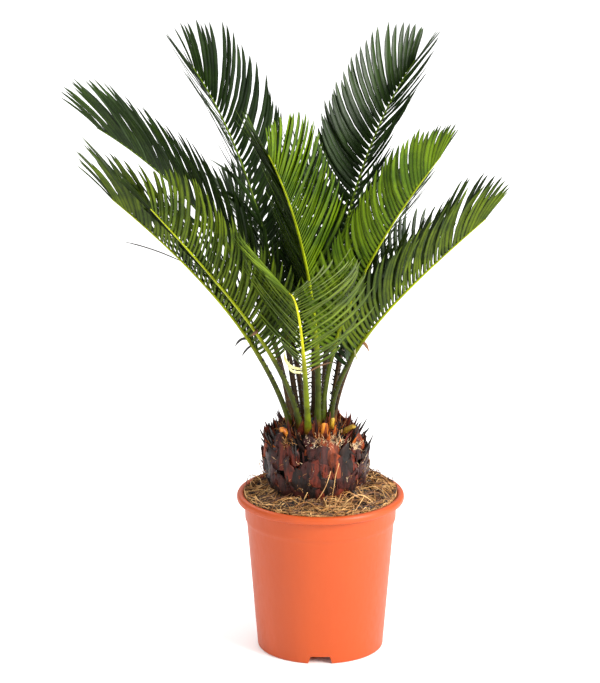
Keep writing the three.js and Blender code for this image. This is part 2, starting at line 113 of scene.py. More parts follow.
def linear(colour: Colour) -> tuple[float, float, float, float]:
    """Turn a display colour of 0 to 255 into the linear values that a shader reads.

    Args:
        colour: Red, green and blue, each from 0 to 255.

    Returns:
        Red, green, blue and an alpha of 1, each from 0 to 1.
    """
    shares = [value / 255.0 for value in colour]
    straight = [s / 12.92 if s <= 0.04045 else ((s + 0.055) / 1.055) ** 2.4 for s in shares]
    return straight[0], straight[1], straight[2], 1.0


def dimmed(colour: Colour, share: float) -> Colour:
    """The colour at a share of its values."""
    red, green, blue = (int(value * share) for value in colour)
    return red, green, blue


def heading(azimuth: float, rise: float) -> np.ndarray:
    """Point a unit direction.

    Args:
        azimuth: Its turn from the x axis, in degrees.
        rise: Its rise above the horizon, in degrees.

    Returns:
        The direction.
    """
    turn, climb = math.radians(azimuth), math.radians(rise)
    flat = math.cos(climb)
    return np.array([flat * math.cos(turn), flat * math.sin(turn), math.sin(climb)])


def unit(vector: np.ndarray) -> np.ndarray:
    """The vector at a length of one."""
    return vector / max(float(np.linalg.norm(vector)), 1e-12)


def across(vector: np.ndarray, line: np.ndarray) -> np.ndarray:
    """The part of a vector that is square to a unit line, at a length of one."""
    return unit(vector - line * float(vector @ line))


def circle(sides: int) -> tuple[np.ndarray, np.ndarray]:
    """The cosines and the sines, as columns, of the corners of a ring of that many sides."""
    turns = np.arange(sides)[:, None] * 2.0 * math.pi / sides
    return np.cos(turns), np.sin(turns)


def skin(rings: np.ndarray) -> Shape:
    """Lay a closed skin over rings of points, with a fan of triangles at each end.

    Args:
        rings: An array of rings, of points in a ring, of coordinates.

    Returns:
        The places, and the faces as four numbers of which a triangle's last is -1.
    """
    count, size = rings.shape[0], rings.shape[1]
    places = rings.reshape(-1, 3)
    near = np.arange(size)
    far = (near + 1) % size
    base = (np.arange(count - 1) * size)[:, None]
    sides = np.stack([base + near, base + far, base + far + size, base + near + size], axis=-1)
    end = np.full(size, count * size)
    last = (count - 1) * size
    none = np.full(size, -1)
    faces = [sides.reshape(-1, 4), np.stack([last + near, last + far, end, none], axis=-1),
             np.stack([far, near, end + 1, none], axis=-1)]
    middles = np.array([rings[-1].mean(axis=0), rings[0].mean(axis=0)])
    return np.concatenate([places, middles]), np.concatenate(faces)


def tube(path: np.ndarray, radii: np.ndarray, sides: int, flat: float = 1.0,
         first: np.ndarray | None = None) -> Shape:
    """Lay a closed tube along a path.

    Args:
        path: The points that the tube follows.
        radii: The tube's radius at each point.
        sides: How many sides the tube has.
        flat: Its thickness as a share of its width.
        first: The direction of its width, or None for any.

    Returns:
        The places and the faces, as skin() gives them.
    """
    steps = np.gradient(path, axis=0)
    steps /= np.maximum(np.linalg.norm(steps, axis=1, keepdims=True), 1e-9)
    guide = first
    if guide is None:
        guide = UP if abs(steps[0][2]) < STEEP else EAST
    cosines, sines = circle(sides)
    rings = []
    for place, step, radius in zip(path, steps, radii):
        guide = across(guide, step)
        other = np.cross(step, guide)
        rings.append(place + radius * (cosines * guide + flat * sines * other))
    return skin(np.array(rings))


class Heap:
    """Many small closed shapes, joined into one piece."""

    def __init__(self, name: str) -> None:
        """Start an empty heap.

        Args:
            name: The name of the piece that it becomes.
        """
        self.name = name
        self.places: list[np.ndarray] = []
        self.faces: list[np.ndarray] = []
        self.finishes: list[np.ndarray] = []
        self.shades: list[np.ndarray] = []
        self.count = 0

    def add(self, shape: Shape, finish: int = 0, shades: np.ndarray | None = None) -> None:
        """Put a closed shape on the heap, facing out.

        Args:
            shape: Its places and its faces, as skin() gives them.
            finish: The number of the finish that it wears.
            shades: How bright its colour is at each of its first places, where that varies.
        """
        places, faces = shape
        corners = places[faces[:, :3]]
        middle = places.mean(axis=0)
        volume = np.einsum("ij,ij->i", corners[:, 0] - middle,
                           np.cross(corners[:, 1] - middle, corners[:, 2] - middle)).sum()
        if volume < 0:
            faces = np.where(faces[:, 3:] < 0, faces[:, [1, 0, 2, 3]], faces[:, ::-1])
        self.places.append(places)
        self.faces.append(np.where(faces < 0, -1, faces + self.count))
        self.finishes.append(np.full(len(faces), finish))
        bright = np.ones(len(places))
        if shades is not None:
            bright[:len(shades)] = shades
        self.shades.append(bright)
        self.count += len(places)

    def piece(self, finishes: Sequence[Finish], crease: Crease) -> Piece:
        """Make the heap one object of the scene.

        Args:
            finishes: The finishes that the finish numbers stand for.
            crease: The angle past which an edge is sharp.

        Returns:
            The object.
        """
        places = np.concatenate(self.places) * MM
        faces = np.concatenate(self.faces)
        corners = faces.reshape(-1)
        corners = corners[corners >= 0]
        sizes = np.where(faces[:, 3] < 0, 3, 4)
        starts = np.concatenate([[0], np.cumsum(sizes)[:-1]])
        mesh = bpy.data.meshes.new(self.name)
        mesh.vertices.add(len(places))
        mesh.vertices.foreach_set("co", places.astype(np.float32).ravel())
        mesh.loops.add(len(corners))
        mesh.loops.foreach_set("vertex_index", corners.astype(np.int32))
        mesh.polygons.add(len(faces))
        mesh.polygons.foreach_set("loop_start", starts.astype(np.int32))
        for finish in finishes:
            mesh.materials.append(finish.material())
        mesh.polygons.foreach_set("material_index", np.concatenate(self.finishes).astype(np.int32))
        shade = mesh.attributes.new(SHADE, "FLOAT", "POINT")
        shade.data.foreach_set("value", np.concatenate(self.shades).astype(np.float32))
        mesh.update(calc_edges=True)
        mesh.validate()
        return place_mesh(mesh, crease)


def mesh_of(body: bmesh.types.BMesh, name: str, finish: Finish | None = None) -> Mesh:
    """Turn a bmesh into a mesh, and free it.

    Args:
        body: The bmesh.
        name: The mesh's name.
        finish: The mesh's finish, or None for none yet.

    Returns:
        The mesh.
    """
    mesh = bpy.data.meshes.new(name)
    body.to_mesh(mesh)
    body.free()
    if finish:
        mesh.materials.append(finish.material())
    return mesh


def link(name: str, data: bpy.types.ID) -> Piece:
    """Put a mesh, a lamp or a camera into the scene.

    Args:
        name: The object's name.
        data: The mesh, the lamp or the camera.

    Returns:
        The object that holds it.
    """
    made = bpy.data.objects.new(name, data)
    bpy.context.scene.collection.objects.link(made)
    return made


def place_mesh(mesh: Mesh, crease: Crease) -> Piece:
    """Link a finished mesh to the scene, with smooth faces up to a crease angle.

    Args:
        mesh: The mesh, in metres.
        crease: The angle past which an edge is sharp.

    Returns:
        The object that holds it.
    """
    mesh.shade_smooth()
    mesh.set_sharp_from_angle(angle=math.radians(crease.value))
    return link(mesh.name, mesh)


def enter(piece: Piece, slot: str, *nodes: str) -> Piece:
    """Make a piece ride on the plant, and let it stand for solids.

    Args:
        piece: The piece.
        slot: The material slot that it would take its finish from; not used.
        nodes: The solids that it replaces.

    Returns:
        The same piece.
    """
    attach(piece, BODY)
    if nodes:
        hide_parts(*nodes)
    log.info("%s: %d faces", piece.name, len(piece.data.polygons))
    return piece


# ---------------------------------------------------------------- shared effects


COLOUR, VALUE, VECTOR = "NodeSocketColor", "NodeSocketFloat", "NodeSocketVector"


class Effect(Enum):
    """The surface effects that several materials share, by the name of their node group."""

    PATCHES = "patchy_colour"
    RELIEF = "fine_relief"


def grow(tree: Tree, kind: str, inputs: dict[str | int, object] | None = None,
         **settings: object) -> Node:
    """Add a node to a tree, set up and fed.

    Args:
        tree: The tree.
        kind: The node's type, without the words that they all begin with.
        inputs: What each input takes: the socket that feeds it, or a value.
        settings: The node's own settings.

    Returns:
        The node.
    """
    node = tree.nodes.new(f"ShaderNode{kind}")
    for name, value in settings.items():
        setattr(node, name, value)
    for place, value in (inputs or {}).items():
        if isinstance(value, Socket):
            tree.links.new(value, node.inputs[place])
        else:
            node.inputs[place].default_value = value
    return node


def blended(tree: Tree, value: Socket, limits: tuple[object, object],
            colours: tuple[Socket, Socket]) -> tuple[Socket, Socket]:
    """Pass smoothly from one colour to another as a value rises.

    Args:
        tree: The tree.
        value: The value.
        limits: Where the passage starts and ends, as sockets or values.
        colours: The colour below it and the colour above it.

    Returns:
        The colour, and how far it has passed.
    """
    share = grow(tree, "MapRange", {"Value": value, "From Min": limits[0], "From Max": limits[1]},
                 interpolation_type="SMOOTHSTEP").outputs["Result"]
    blend = grow(tree, "Mix", {"Factor": share, "A": colours[0], "B": colours[1]},
                 data_type="RGBA")
    return blend.outputs["Result"], share


def start_group(kind: Effect, inputs: dict[str, tuple[str, object]],
                outputs: dict[str, str]) -> tuple[Tree, Node, Node]:
    """Start an effect's node group.

    Args:
        kind: Which effect.
        inputs: Each input's socket type and the value that it starts with, or None.
        outputs: Each output's socket type.

    Returns:
        The group, and the nodes that its inputs come out of and its outputs go into.
    """
    group = bpy.data.node_groups.new(kind.value, "ShaderNodeTree")
    for name, (sort, value) in inputs.items():
        made = group.interface.new_socket(name, in_out="INPUT", socket_type=sort)
        if value is not None:
            made.default_value = value
    for name, sort in outputs.items():
        group.interface.new_socket(name, in_out="OUTPUT", socket_type=sort)
    return group, group.nodes.new("NodeGroupInput"), group.nodes.new("NodeGroupOutput")


def stretched_noise(group: Tree, source: Node, detail: float, roughness: float) -> Socket:
    """Lay noise on the object's coordinates, at the scale and the stretch that the group is given.

    Args:
        group: The group.
        source: The node that its inputs come out of.
        detail: How many layers of finer noise there are.
        roughness: How strong the finer layers are.

    Returns:
        The noise.
    """
    place = grow(group, "TexCoord").outputs["Object"]
    stretch = grow(group, "VectorMath", {0: place, 1: source.outputs["Stretch"]},
                   operation="MULTIPLY")
    noise = grow(group, "TexNoise", {"Vector": stretch.outputs[0], "Detail": detail,
                                     "Scale": source.outputs["Scale"], "Roughness": roughness})
    return noise.outputs["Fac"]


def patches_group() -> Tree:
    """Build the effect that wanders between two colours.

    Returns:
        A group from two colours, a patch scale, a stretch and a contrast to a colour and a mask.
    """
    group, source, sink = start_group(
        Effect.PATCHES,
        {"Colour": (COLOUR, None), "Second Colour": (COLOUR, None), "Scale": (VALUE, 100.0),
         "Stretch": (VECTOR, (1.0, 1.0, 1.0)), "Low": (VALUE, 0.35), "High": (VALUE, 0.65)},
        {"Colour": COLOUR, "Mask": VALUE})
    noise = stretched_noise(group, source, 5.0, 0.6)
    colour, mask = blended(group, noise, (source.outputs["Low"], source.outputs["High"]),
                           (source.outputs["Colour"], source.outputs["Second Colour"]))
    group.links.new(colour, sink.inputs["Colour"])
    group.links.new(mask, sink.inputs["Mask"])
    return group


def relief_group() -> Tree:
    """Build the effect that raises a fine grain.

    Returns:
        A group from a scale, a stretch, a depth in metres and a roughness range to a normal and
        a roughness.
    """
    group, source, sink = start_group(
        Effect.RELIEF,
        {"Scale": (VALUE, 400.0), "Stretch": (VECTOR, (1.0, 1.0, 1.0)), "Depth": (VALUE, 0.0003),
         "Smooth": (VALUE, 0.3), "Rough": (VALUE, 0.6)},
        {"Normal": VECTOR, "Roughness": VALUE})
    noise = stretched_noise(group, source, 4.0, 0.5)
    bump = grow(group, "Bump", {"Height": noise, "Distance": source.outputs["Depth"]})
    shine = grow(group, "MapRange", {
        "Value": noise, "From Min": 0.3, "From Max": 0.7, "To Min": source.outputs["Smooth"],
        "To Max": source.outputs["Rough"]})
    group.links.new(bump.outputs["Normal"], sink.inputs["Normal"])
    group.links.new(shine.outputs["Result"], sink.inputs["Roughness"])
    return group


def effect(tree: Tree, kind: Effect, **values: object) -> Node:
    """Place a shared effect in a material, with its own values.

    Args:
        tree: The material's node tree.
        kind: Which effect.
        values: Its inputs, with underscores for spaces.

    Returns:
        The group node.
    """
    makers = {Effect.PATCHES: patches_group, Effect.RELIEF: relief_group}
    group = bpy.data.node_groups.get(kind.value) or makers[kind]()
    inputs = {name.replace("_", " "): value for name, value in values.items()}
    return grow(tree, "Group", inputs, node_tree=group)


# ---------------------------------------------------------------- finishes


@dataclass(frozen=True)
class Finish:
    """A matt or glossy surface whose colour wanders between two tones over a fine grain."""

    name: str
    colour: Colour
    second: Colour
    patch_scale: float = 90.0
    stretch: Triple = (1.0, 1.0, 1.0)
    patch_range: tuple[float, float] = (0.38, 0.62)
    grain_scale: float = 600.0
    grain_depth: float = 0.15
    shine: tuple[float, float] = (0.45, 0.7)
    specular: float = 0.5

    def material(self) -> Material:
        """Build the material, or find it where it is built already.

        Returns:
            The material.
        """
        found = bpy.data.materials.get(self.name)
        if found:
            return found
        made = bpy.data.materials.new(self.name)
        made.use_nodes = True
        tree = made.node_tree
        shader = tree.nodes["Principled BSDF"]
        shader.inputs["Specular IOR Level"].default_value = self.specular
        colour = self.colour_socket(tree)
        grain = effect(tree, Effect.RELIEF, Scale=self.grain_scale, Stretch=self.stretch,
                       Depth=self.grain_depth * MM, Smooth=self.shine[0], Rough=self.shine[1])
        tree.links.new(colour, shader.inputs["Base Color"])
        tree.links.new(grain.outputs["Roughness"], shader.inputs["Roughness"])
        tree.links.new(grain.outputs["Normal"], shader.inputs["Normal"])
        return made

    def colour_socket(self, tree: Tree) -> Socket:
        """The output that gives the base colour, from the two tones."""
        return self.tones(tree, self.colour, self.second)

    def tones(self, tree: Tree, colour: Colour, second: Colour) -> Socket:
        """Wander between two colours at this finish's scale.

        Args:
            tree: The material's node tree.
            colour: The one colour.
            second: The other.

        Returns:
            The output that gives the colour.
        """
        low, high = self.patch_range
        patches = effect(tree, Effect.PATCHES, Colour=linear(colour), Second_Colour=linear(second),
                         Scale=self.patch_scale, Stretch=self.stretch, Low=low, High=high)
        return patches.outputs["Colour"]


@dataclass(frozen=True)
class LeafletFinish(Finish):
    """A leaflet's face, as bright at each place as its piece's shade says, which holds painted
    shade at the leaflet's edges.
    """

    def colour_socket(self, tree: Tree) -> Socket:
        """Dim the two tones by the shade.

        Args:
            tree: The material's node tree.

        Returns:
            The output that gives the base colour.
        """
        tones = self.tones(tree, self.colour, self.second)
        shade = grow(tree, "Attribute", attribute_name=SHADE).outputs["Fac"]
        return grow(tree, "VectorMath", {0: tones, "Scale": shade}, operation="SCALE").outputs[0]


@dataclass(frozen=True)
class StalkFinish(Finish):
    """A stalk whose colour changes with height, from its sheath to its tip."""

    sheath: Colour = (168, 96, 32)
    petiole: Colour = (70, 112, 40)
    petiole_from: tuple[float, float] = (256.0, 274.0)
    rachis_from: tuple[float, float] = (330.0, 400.0)

    def colour_socket(self, tree: Tree) -> Socket:
        """Build the ramp from the sheath's colour over the petiole's to the rachis's.

        Args:
            tree: The material's node tree.

        Returns:
            The output that gives the base colour.
        """
        place = grow(tree, "TexCoord").outputs["Object"]
        height = grow(tree, "SeparateXYZ", {0: place}).outputs["Z"]
        colour = self.tones(tree, self.sheath, dimmed(self.sheath, 0.62))
        petiole = self.tones(tree, self.petiole, dimmed(self.petiole, 0.74))
        rachis = self.tones(tree, self.colour, self.second)
        for (low, high), above in ((self.petiole_from, petiole), (self.rachis_from, rachis)):
            colour, _ = blended(tree, height, (low * MM, high * MM), (colour, above))
        return colour


@dataclass(frozen=True)
class Bark(Finish):
    """A dry scale of the trunk, streaked along its length."""

    patch_scale: float = 150.0
    stretch: Triple = (1.0, 1.0, 0.16)
    grain_scale: float = 420.0
    grain_depth: float = 0.8
    specular: float = 0.2


@dataclass(frozen=True)
class CutWood(Finish):
    """The cut end of a leaf base."""

    patch_scale: float = 220.0
    stretch: Triple = (1.0, 1.0, 0.25)
    grain_scale: float = 500.0
    grain_depth: float = 0.5
    shine: tuple[float, float] = (0.4, 0.65)


@dataclass(frozen=True)
class Fibre(Finish):
    """A smooth dry fibre or leaflet."""

    grain_depth: float = 0.02
    shine: tuple[float, float] = (0.5, 0.75)


POT_PLASTIC = Finish("pot_plastic", (179, 71, 16), (173, 67, 14), patch_scale=16.0,
                     stretch=(1.0, 1.0, 0.35), patch_range=(0.3, 0.7), grain_scale=260.0,
                     grain_depth=0.05, shine=(0.42, 0.52), specular=0.4)
PEAT = Finish("peat", (40, 27, 18), (18, 12, 9), patch_scale=160.0, grain_scale=500.0,
              grain_depth=0.8, shine=(0.7, 0.95), specular=0.15)
COIR_PALE = Fibre("coir_pale", (214, 170, 108), (178, 130, 78))
COIR_TAN = Fibre("coir_tan", (184, 132, 70), (142, 92, 44))
COIR_BROWN = Fibre("coir_brown", (120, 76, 40), (80, 46, 24))
COIR_DARK = Fibre("coir_dark", (46, 30, 20), (26, 17, 12))
# Near-black core colour: painted shade for the gaps between the trunk's scales.
BARK_CORE_PAINTED_SHADE = Finish("bark_core_painted_shade", (24, 14, 11), (10, 7, 6), patch_scale=180.0,
                   stretch=(1.0, 1.0, 0.3), grain_scale=300.0, grain_depth=1.0, shine=(0.6, 0.9),
                   specular=0.2)
SCALE_MAROON = Bark("scale_maroon", (100, 38, 24), (38, 17, 13), shine=(0.34, 0.6))
SCALE_PLUM = Bark("scale_plum", (64, 30, 26), (28, 15, 13), shine=(0.3, 0.56))
SCALE_RUST = Bark("scale_rust", (128, 56, 26), (70, 30, 18))
SCALE_DARK = Bark("scale_dark", (42, 25, 19), (18, 12, 10), shine=(0.32, 0.58))
SCALES = (SCALE_MAROON, SCALE_PLUM, SCALE_RUST, SCALE_DARK)
HUSK = Bark("husk_orange", (190, 98, 34), (120, 52, 20), grain_depth=0.4)
STUB_GOLD = CutWood("stub_gold", (222, 138, 24), (168, 84, 16))
STUB_OLIVE = CutWood("stub_olive", (196, 160, 30), (128, 96, 20))
WOOL = Fibre("wool", (238, 212, 174), (208, 164, 116), shine=(0.6, 0.85))
THORN = Finish("thorn", (34, 24, 20), (22, 16, 14), grain_depth=0.1, shine=(0.3, 0.5))
DRIED_PALE = Fibre("dried_pale", (206, 206, 150), (170, 166, 104), grain_depth=0.1,
                   shine=(0.5, 0.7))
DRIED_TAN = Fibre("dried_tan", (126, 88, 52), (84, 54, 32), grain_depth=0.1, shine=(0.5, 0.7))
FLOOR = Finish("floor_white", (250, 250, 250), (250, 250, 250), patch_scale=3.0, grain_depth=0.0,
               shine=(0.8, 0.9), specular=0.2)


@dataclass(frozen=True)
class FrondTone:
    """The colours of one kind of frond: its leaflets' upper and lower faces, and its stalk."""

    name: str
    upper: Colour
    upper_second: Colour
    lower: Colour
    lower_second: Colour
    rachis: Colour
    petiole: Colour

    def leaflet_finishes(self) -> tuple[Finish, Finish]:
        """Finish a leaflet's two faces.

        Returns:
            The upper face's finish and the lower face's.
        """
        colours = ((self.upper, self.upper_second), (self.lower, self.lower_second))
        upper, lower = (LeafletFinish(f"leaflet_{self.name}_{side}", *pair, patch_scale=26.0,
                                      grain_scale=700.0, grain_depth=0.06, shine=shine,
                                      specular=specular)
                        for side, pair, shine, specular in (
                            ("upper", colours[0], (0.34, 0.46), 0.24),
                            ("lower", colours[1], (0.45, 0.6), 0.16)))
        return upper, lower

    def stalk_finish(self) -> Finish:
        """The finish of the petiole and the rachis."""
        return StalkFinish(f"stalk_{self.name}", self.rachis, dimmed(self.rachis, 0.86),
                           petiole=self.petiole, patch_scale=60.0, grain_scale=700.0,
                           grain_depth=0.06, shine=(0.36, 0.55), specular=0.16)


class Tone(Enum):
    """The kinds of frond on the plant, from the old ones at the back to the young one in front."""

    DEEP = FrondTone("deep", (38, 58, 15), (25, 42, 11), (46, 66, 13), (31, 50, 12), (92, 116, 16),
                     (66, 46, 22))
    GREEN = FrondTone("green", (48, 65, 5), (28, 43, 5), (78, 95, 6), (48, 65, 6), (156, 168, 12),
                      (64, 72, 10))
    FRESH = FrondTone("fresh", (57, 79, 3), (38, 56, 3), (84, 108, 4), (58, 83, 4), (152, 166, 10),
                      (66, 76, 10))
    PALE = FrondTone("pale", (112, 134, 34), (74, 96, 20), (92, 110, 22), (62, 80, 14),
                     (202, 200, 12), (96, 108, 8))


# ---------------------------------------------------------------- the pot


@dataclass
class Pot:
    """A round plastic pot with a rolled rim, a step below it and channels in its foot."""

    height: float = 182.0
    rim_radius: float = 95.0
    mouth_radius: float = 87.0
    foot_radius: float = 71.5
    step_radius: float = 83.6
    step_height: float = 147.0
    shoulder_radius: float = 86.0
    shoulder_height: float = 152.0
    lip_height: float = 172.5
    wall: float = 2.0
    floor_top: float = 13.0
    sides: int = 144
    channels: int = 3
    first_channel: float = 270.0
    channel_edge: float = 1.2
    channel_ground: float = 28.0
    channel_top: float = 22.0
    channel_height: float = 9.0
    channel_inner: float = 44.0
    channel_outer: float = 80.0
    drain_at: float = 57.0
    drain_radius: float = 4.0
    slot: str = "pot"

    def outline(self) -> list[tuple[float, float]]:
        """The half section, from the foot's middle round to the middle of the inside floor.

        Returns:
            Each point's radius and height.
        """
        rim, shoulder, lip = self.rim_radius, self.shoulder_radius, self.lip_height
        foot, step, rise = self.foot_radius, self.step_radius, self.shoulder_height
        outside = [(0.0, 0.0), (foot - 1.6, 0.0), (foot - 0.7, 0.25), (foot - 0.15, 0.9),
                   (foot + 0.1, 2.0), (step, self.step_height),
                   (step + 0.35, self.step_height + 1.2), (shoulder - 1.0, rise - 1.2),
                   (shoulder - 0.5, rise), (shoulder - 0.3, rise + 3.0), (shoulder, lip - 2.4),
                   (shoulder + 0.5, lip - 1.0), (shoulder + 1.6, lip - 0.4), (rim - 4.0, lip),
                   (rim - 2.2, lip + 0.3), (rim - 0.8, lip + 1.2), (rim - 0.1, lip + 2.8),
                   (rim, lip + 4.8), (rim - 0.3, lip + 6.8), (rim - 1.2, lip + 8.4),
                   (rim - 2.6, lip + 9.3), (rim - 4.2, self.height)]
        mouth, within = self.mouth_radius, shoulder - self.wall
        inside = [(mouth + 1.8, self.height - 0.3), (mouth + 0.6, self.height - 1.2),
                  (mouth, self.height - 2.8), (mouth - 0.8, self.height - 5.0),
                  (within, lip - 1.0), (within - 0.6, rise), (step - self.wall, self.step_height),
                  (foot - self.wall + 1.0, self.floor_top), (0.0, self.floor_top)]
        return outside + inside

    def channel_cutters(self) -> list[Piece]:
        """Make the blocks and drills that cut the foot's channels and drain holes.

        Returns:
            The cutters, which are removed once they have cut.
        """
        made = []
        for index in range(self.channels):
            azimuth = math.radians(self.first_channel + 360.0 / self.channels * index)
            block = bmesh.new()
            bmesh.ops.create_cube(block, size=1.0)
            for vertex in block.verts:
                top = vertex.co.z > 0
                width = self.channel_top if top else self.channel_ground
                vertex.co.y *= width
                vertex.co.x = self.channel_outer if vertex.co.x > 0 else self.channel_inner
                vertex.co.z = self.channel_height if top else -1.0
            top_edges = [e for e in block.edges if all(v.co.z > 0 for v in e.verts)
                         and abs(e.verts[0].co.y - e.verts[1].co.y) < 1e-6]
            bmesh.ops.bevel(block, geom=top_edges, offset=self.channel_edge, offset_type="OFFSET",
                            segments=3, profile=0.5, affect="EDGES", material=-1)
            drill = bmesh.new()
            bmesh.ops.create_cone(drill, cap_ends=True, segments=24, radius1=self.drain_radius,
                                  radius2=self.drain_radius, depth=4.0 * self.floor_top,
                                  matrix=Matrix.Translation((self.drain_at, 0.0, 0.0)))
            for name, shape in (("channel", block), ("drill", drill)):
                turn = Matrix.Rotation(azimuth, 4, "Z")
                bmesh.ops.transform(shape, matrix=Matrix.Scale(MM, 4) @ turn, verts=shape.verts)
                bmesh.ops.recalc_face_normals(shape, faces=shape.faces)
                mesh = mesh_of(shape, f"{name}_cutter_{index}")
                made.append(link(mesh.name, mesh))
        return made

    def shell(self) -> Piece:
        """Spin the outline into the pot's body and cut the channels out of its foot.

        Returns:
            The finished shell, undressed.
        """
        body = bmesh.new()
        verts = [body.verts.new((r * MM, 0.0, z * MM)) for r, z in self.outline()]
        edges = [body.edges.new(pair) for pair in zip(verts, verts[1:])]
        bmesh.ops.spin(body, geom=verts + edges, cent=(0, 0, 0), axis=(0, 0, 1), dvec=(0, 0, 0),
                       angle=2.0 * math.pi, steps=self.sides, use_merge=True, use_duplicate=False)
        bmesh.ops.remove_doubles(body, verts=body.verts, dist=1e-7)
        bmesh.ops.recalc_face_normals(body, faces=body.faces)
        blank = link("pot_blank", mesh_of(body, "pot_blank"))
        cutters = self.channel_cutters()
        for cutter in cutters:
            cut = blank.modifiers.new(cutter.name, "BOOLEAN")
            cut.operation, cut.solver, cut.object = "DIFFERENCE", "EXACT", cutter
        shaped = blank.evaluated_get(bpy.context.evaluated_depsgraph_get())
        mesh = bpy.data.meshes.new_from_object(shaped)
        mesh.name = "pot_shell"
        for spent in (blank, *cutters):
            bpy.data.objects.remove(spent)
        return place_mesh(mesh, Crease.POT)

    def build(self) -> None:
        """Build the pot and dress it."""
        shell = self.shell()
        shell.data.materials.clear()
        shell.data.materials.append(POT_PLASTIC.material())
        enter(shell, self.slot, "pot")


# ---------------------------------------------------------------- the soil and its coir


@dataclass
class Soil:
    """Dark peat that mounds up to the trunk, under a loose mat of coir fibres."""

    wall_radius: float = 83.4
    lip_radius: float = 85.6
    spill: float = 0.8
    edge_height: float = 176.0
    mound_height: float = 181.5
    mound_radius: float = 52.0
    skirt: float = 14.0
    rings: int = 26
    sides: int = 96
    lump: float = 2.4
    heap_azimuth: float = 12.0
    heap_height: float = 8.0
    heap_from: float = 46.0
    heap_rises_over: float = 20.0
    heap_falls_over: float = 14.0
    crumbs: int = 900
    crumb_size: tuple[float, float] = (1.0, 3.4)
    crumb_rings: tuple[tuple[float, float], ...] = (
        (-1.0, 0.35), (-0.4, 0.9), (0.4, 1.0), (1.0, 0.4))
    crumb_sides: int = 6
    crumb_shares: tuple[float, ...] = (0.5, 0.25, 0.17, 0.08)
    fibres: int = 2000
    fibre_radius: tuple[float, float] = (0.3, 0.76)
    fibre_length: tuple[float, float] = (14.0, 58.0)
    fibre_steps: int = 9
    fibre_arching: float = 0.1
    fibre_shares: tuple[float, ...] = (0.28, 0.22, 0.2, 0.3)
    heaped_share: float = 0.26
    heaped_spread: float = 38.0
    loops: int = 150
    loop_radius: float = 0.4
    loop_arching: float = 0.16
    loop_shares: tuple[float, ...] = (0.6, 0.4)
    rim_bank: float = 1.8
    rim_bank_from: float = 77.0
    rim_bank_over: float = 9.0
    trunk_bank: float = 5.0
    trunk_bank_from: float = 62.0
    trunk_bank_over: float = 8.0
    slot: str = "soil"

    def height_at(self, x: np.ndarray, y: np.ndarray) -> np.ndarray:
        """The mound's height under points, without its lumps.

        Args:
            x: The points' x.
            y: The points' y.

        Returns:
            The heights.
        """
        reach = np.hypot(x, y)
        fall = np.clip((reach - self.mound_radius) / (self.wall_radius - self.mound_radius),
                       0.0, 1.0)
        turn = np.arctan2(y, x) - math.radians(self.heap_azimuth)
        heap = self.heap_height * np.clip(np.cos(turn), 0.0, 1.0) ** 2
        heap *= (np.clip((reach - self.heap_from) / self.heap_rises_over, 0.0, 1.0)
                 * np.clip((self.lip_radius - reach) / self.heap_falls_over, 0.0, 1.0))
        return self.mound_height - (self.mound_height - self.edge_height) * fall ** 1.3 + heap

    def mound(self) -> Piece:
        """Shape the peat from a disc whose rings are lifted, with a skirt down inside the pot.

        Returns:
            The mound, dressed.
        """
        draw = seeded("mound")
        body = bmesh.new()
        bmesh.ops.create_circle(body, cap_ends=True, radius=self.wall_radius, segments=self.sides)
        width = self.wall_radius / self.rings
        for _ in range(1, self.rings):
            outer = [f for f in body.faces if len(f.verts) > 4]
            bmesh.ops.inset_individual(body, faces=outer, thickness=width, depth=0.0)
        hub = [f for f in body.faces if len(f.verts) > 4]
        bmesh.ops.poke(body, faces=hub)
        rim = [e for e in body.edges if e.is_boundary]
        under = bmesh.ops.extrude_edge_only(body, edges=rim)
        low = [v for v in under["geom"] if isinstance(v, bmesh.types.BMVert)]
        for vertex in body.verts:
            height = float(self.height_at(np.array(vertex.co.x), np.array(vertex.co.y)))
            vertex.co.z = height + float(draw.uniform(-1.0, 1.0)) * self.lump
        for vertex in low:
            vertex.co.z = self.edge_height - self.skirt
        for vertex in set(body.verts) - set(low):
            if math.hypot(vertex.co.x, vertex.co.y) > self.wall_radius - 1.0:
                vertex.co.xy *= self.lip_radius / self.wall_radius
        bmesh.ops.contextual_create(body, geom=[e for e in body.edges if e.is_boundary])
        bmesh.ops.scale(body, vec=(MM, MM, MM), verts=body.verts)
        bmesh.ops.recalc_face_normals(body, faces=body.faces)
        return place_mesh(mesh_of(body, "soil_mound", PEAT), Crease.MOUND)

    def crumb_heap(self) -> Piece:
        """Scatter crumbs of peat and husk over the mound.

        Returns:
            The joined crumbs, dressed.
        """
        draw = seeded("crumbs")
        heap = Heap("soil_crumbs")
        cosines, sines = circle(self.crumb_sides)
        for _ in range(self.crumbs):
            reach = math.sqrt(draw.uniform(0.3, 1.0)) * (self.wall_radius - 4.0)
            azimuth = draw.uniform(0.0, 360.0)
            centre = heading(azimuth, 0.0) * reach
            centre[2] = float(self.height_at(centre[0], centre[1])) + draw.uniform(0.0, 1.6)
            size = draw.uniform(*self.crumb_size)
            axis = heading(draw.uniform(0, 360), draw.uniform(-30, 30))
            side = across(heading(draw.uniform(0, 360), 70.0), axis)
            other = np.cross(axis, side)
            rings = []
            for along, share in self.crumb_rings:
                wobble = draw.uniform(0.7, 1.15, cosines.shape) * share * size * 0.6
                rings.append(centre + axis * along * size
                             + wobble * (cosines * side + sines * other * 0.7))
            heap.add(skin(np.array(rings)), picked(draw, self.crumb_shares))
        return heap.piece((PEAT, COIR_DARK, COIR_BROWN, COIR_TAN), Crease.CRUMB)

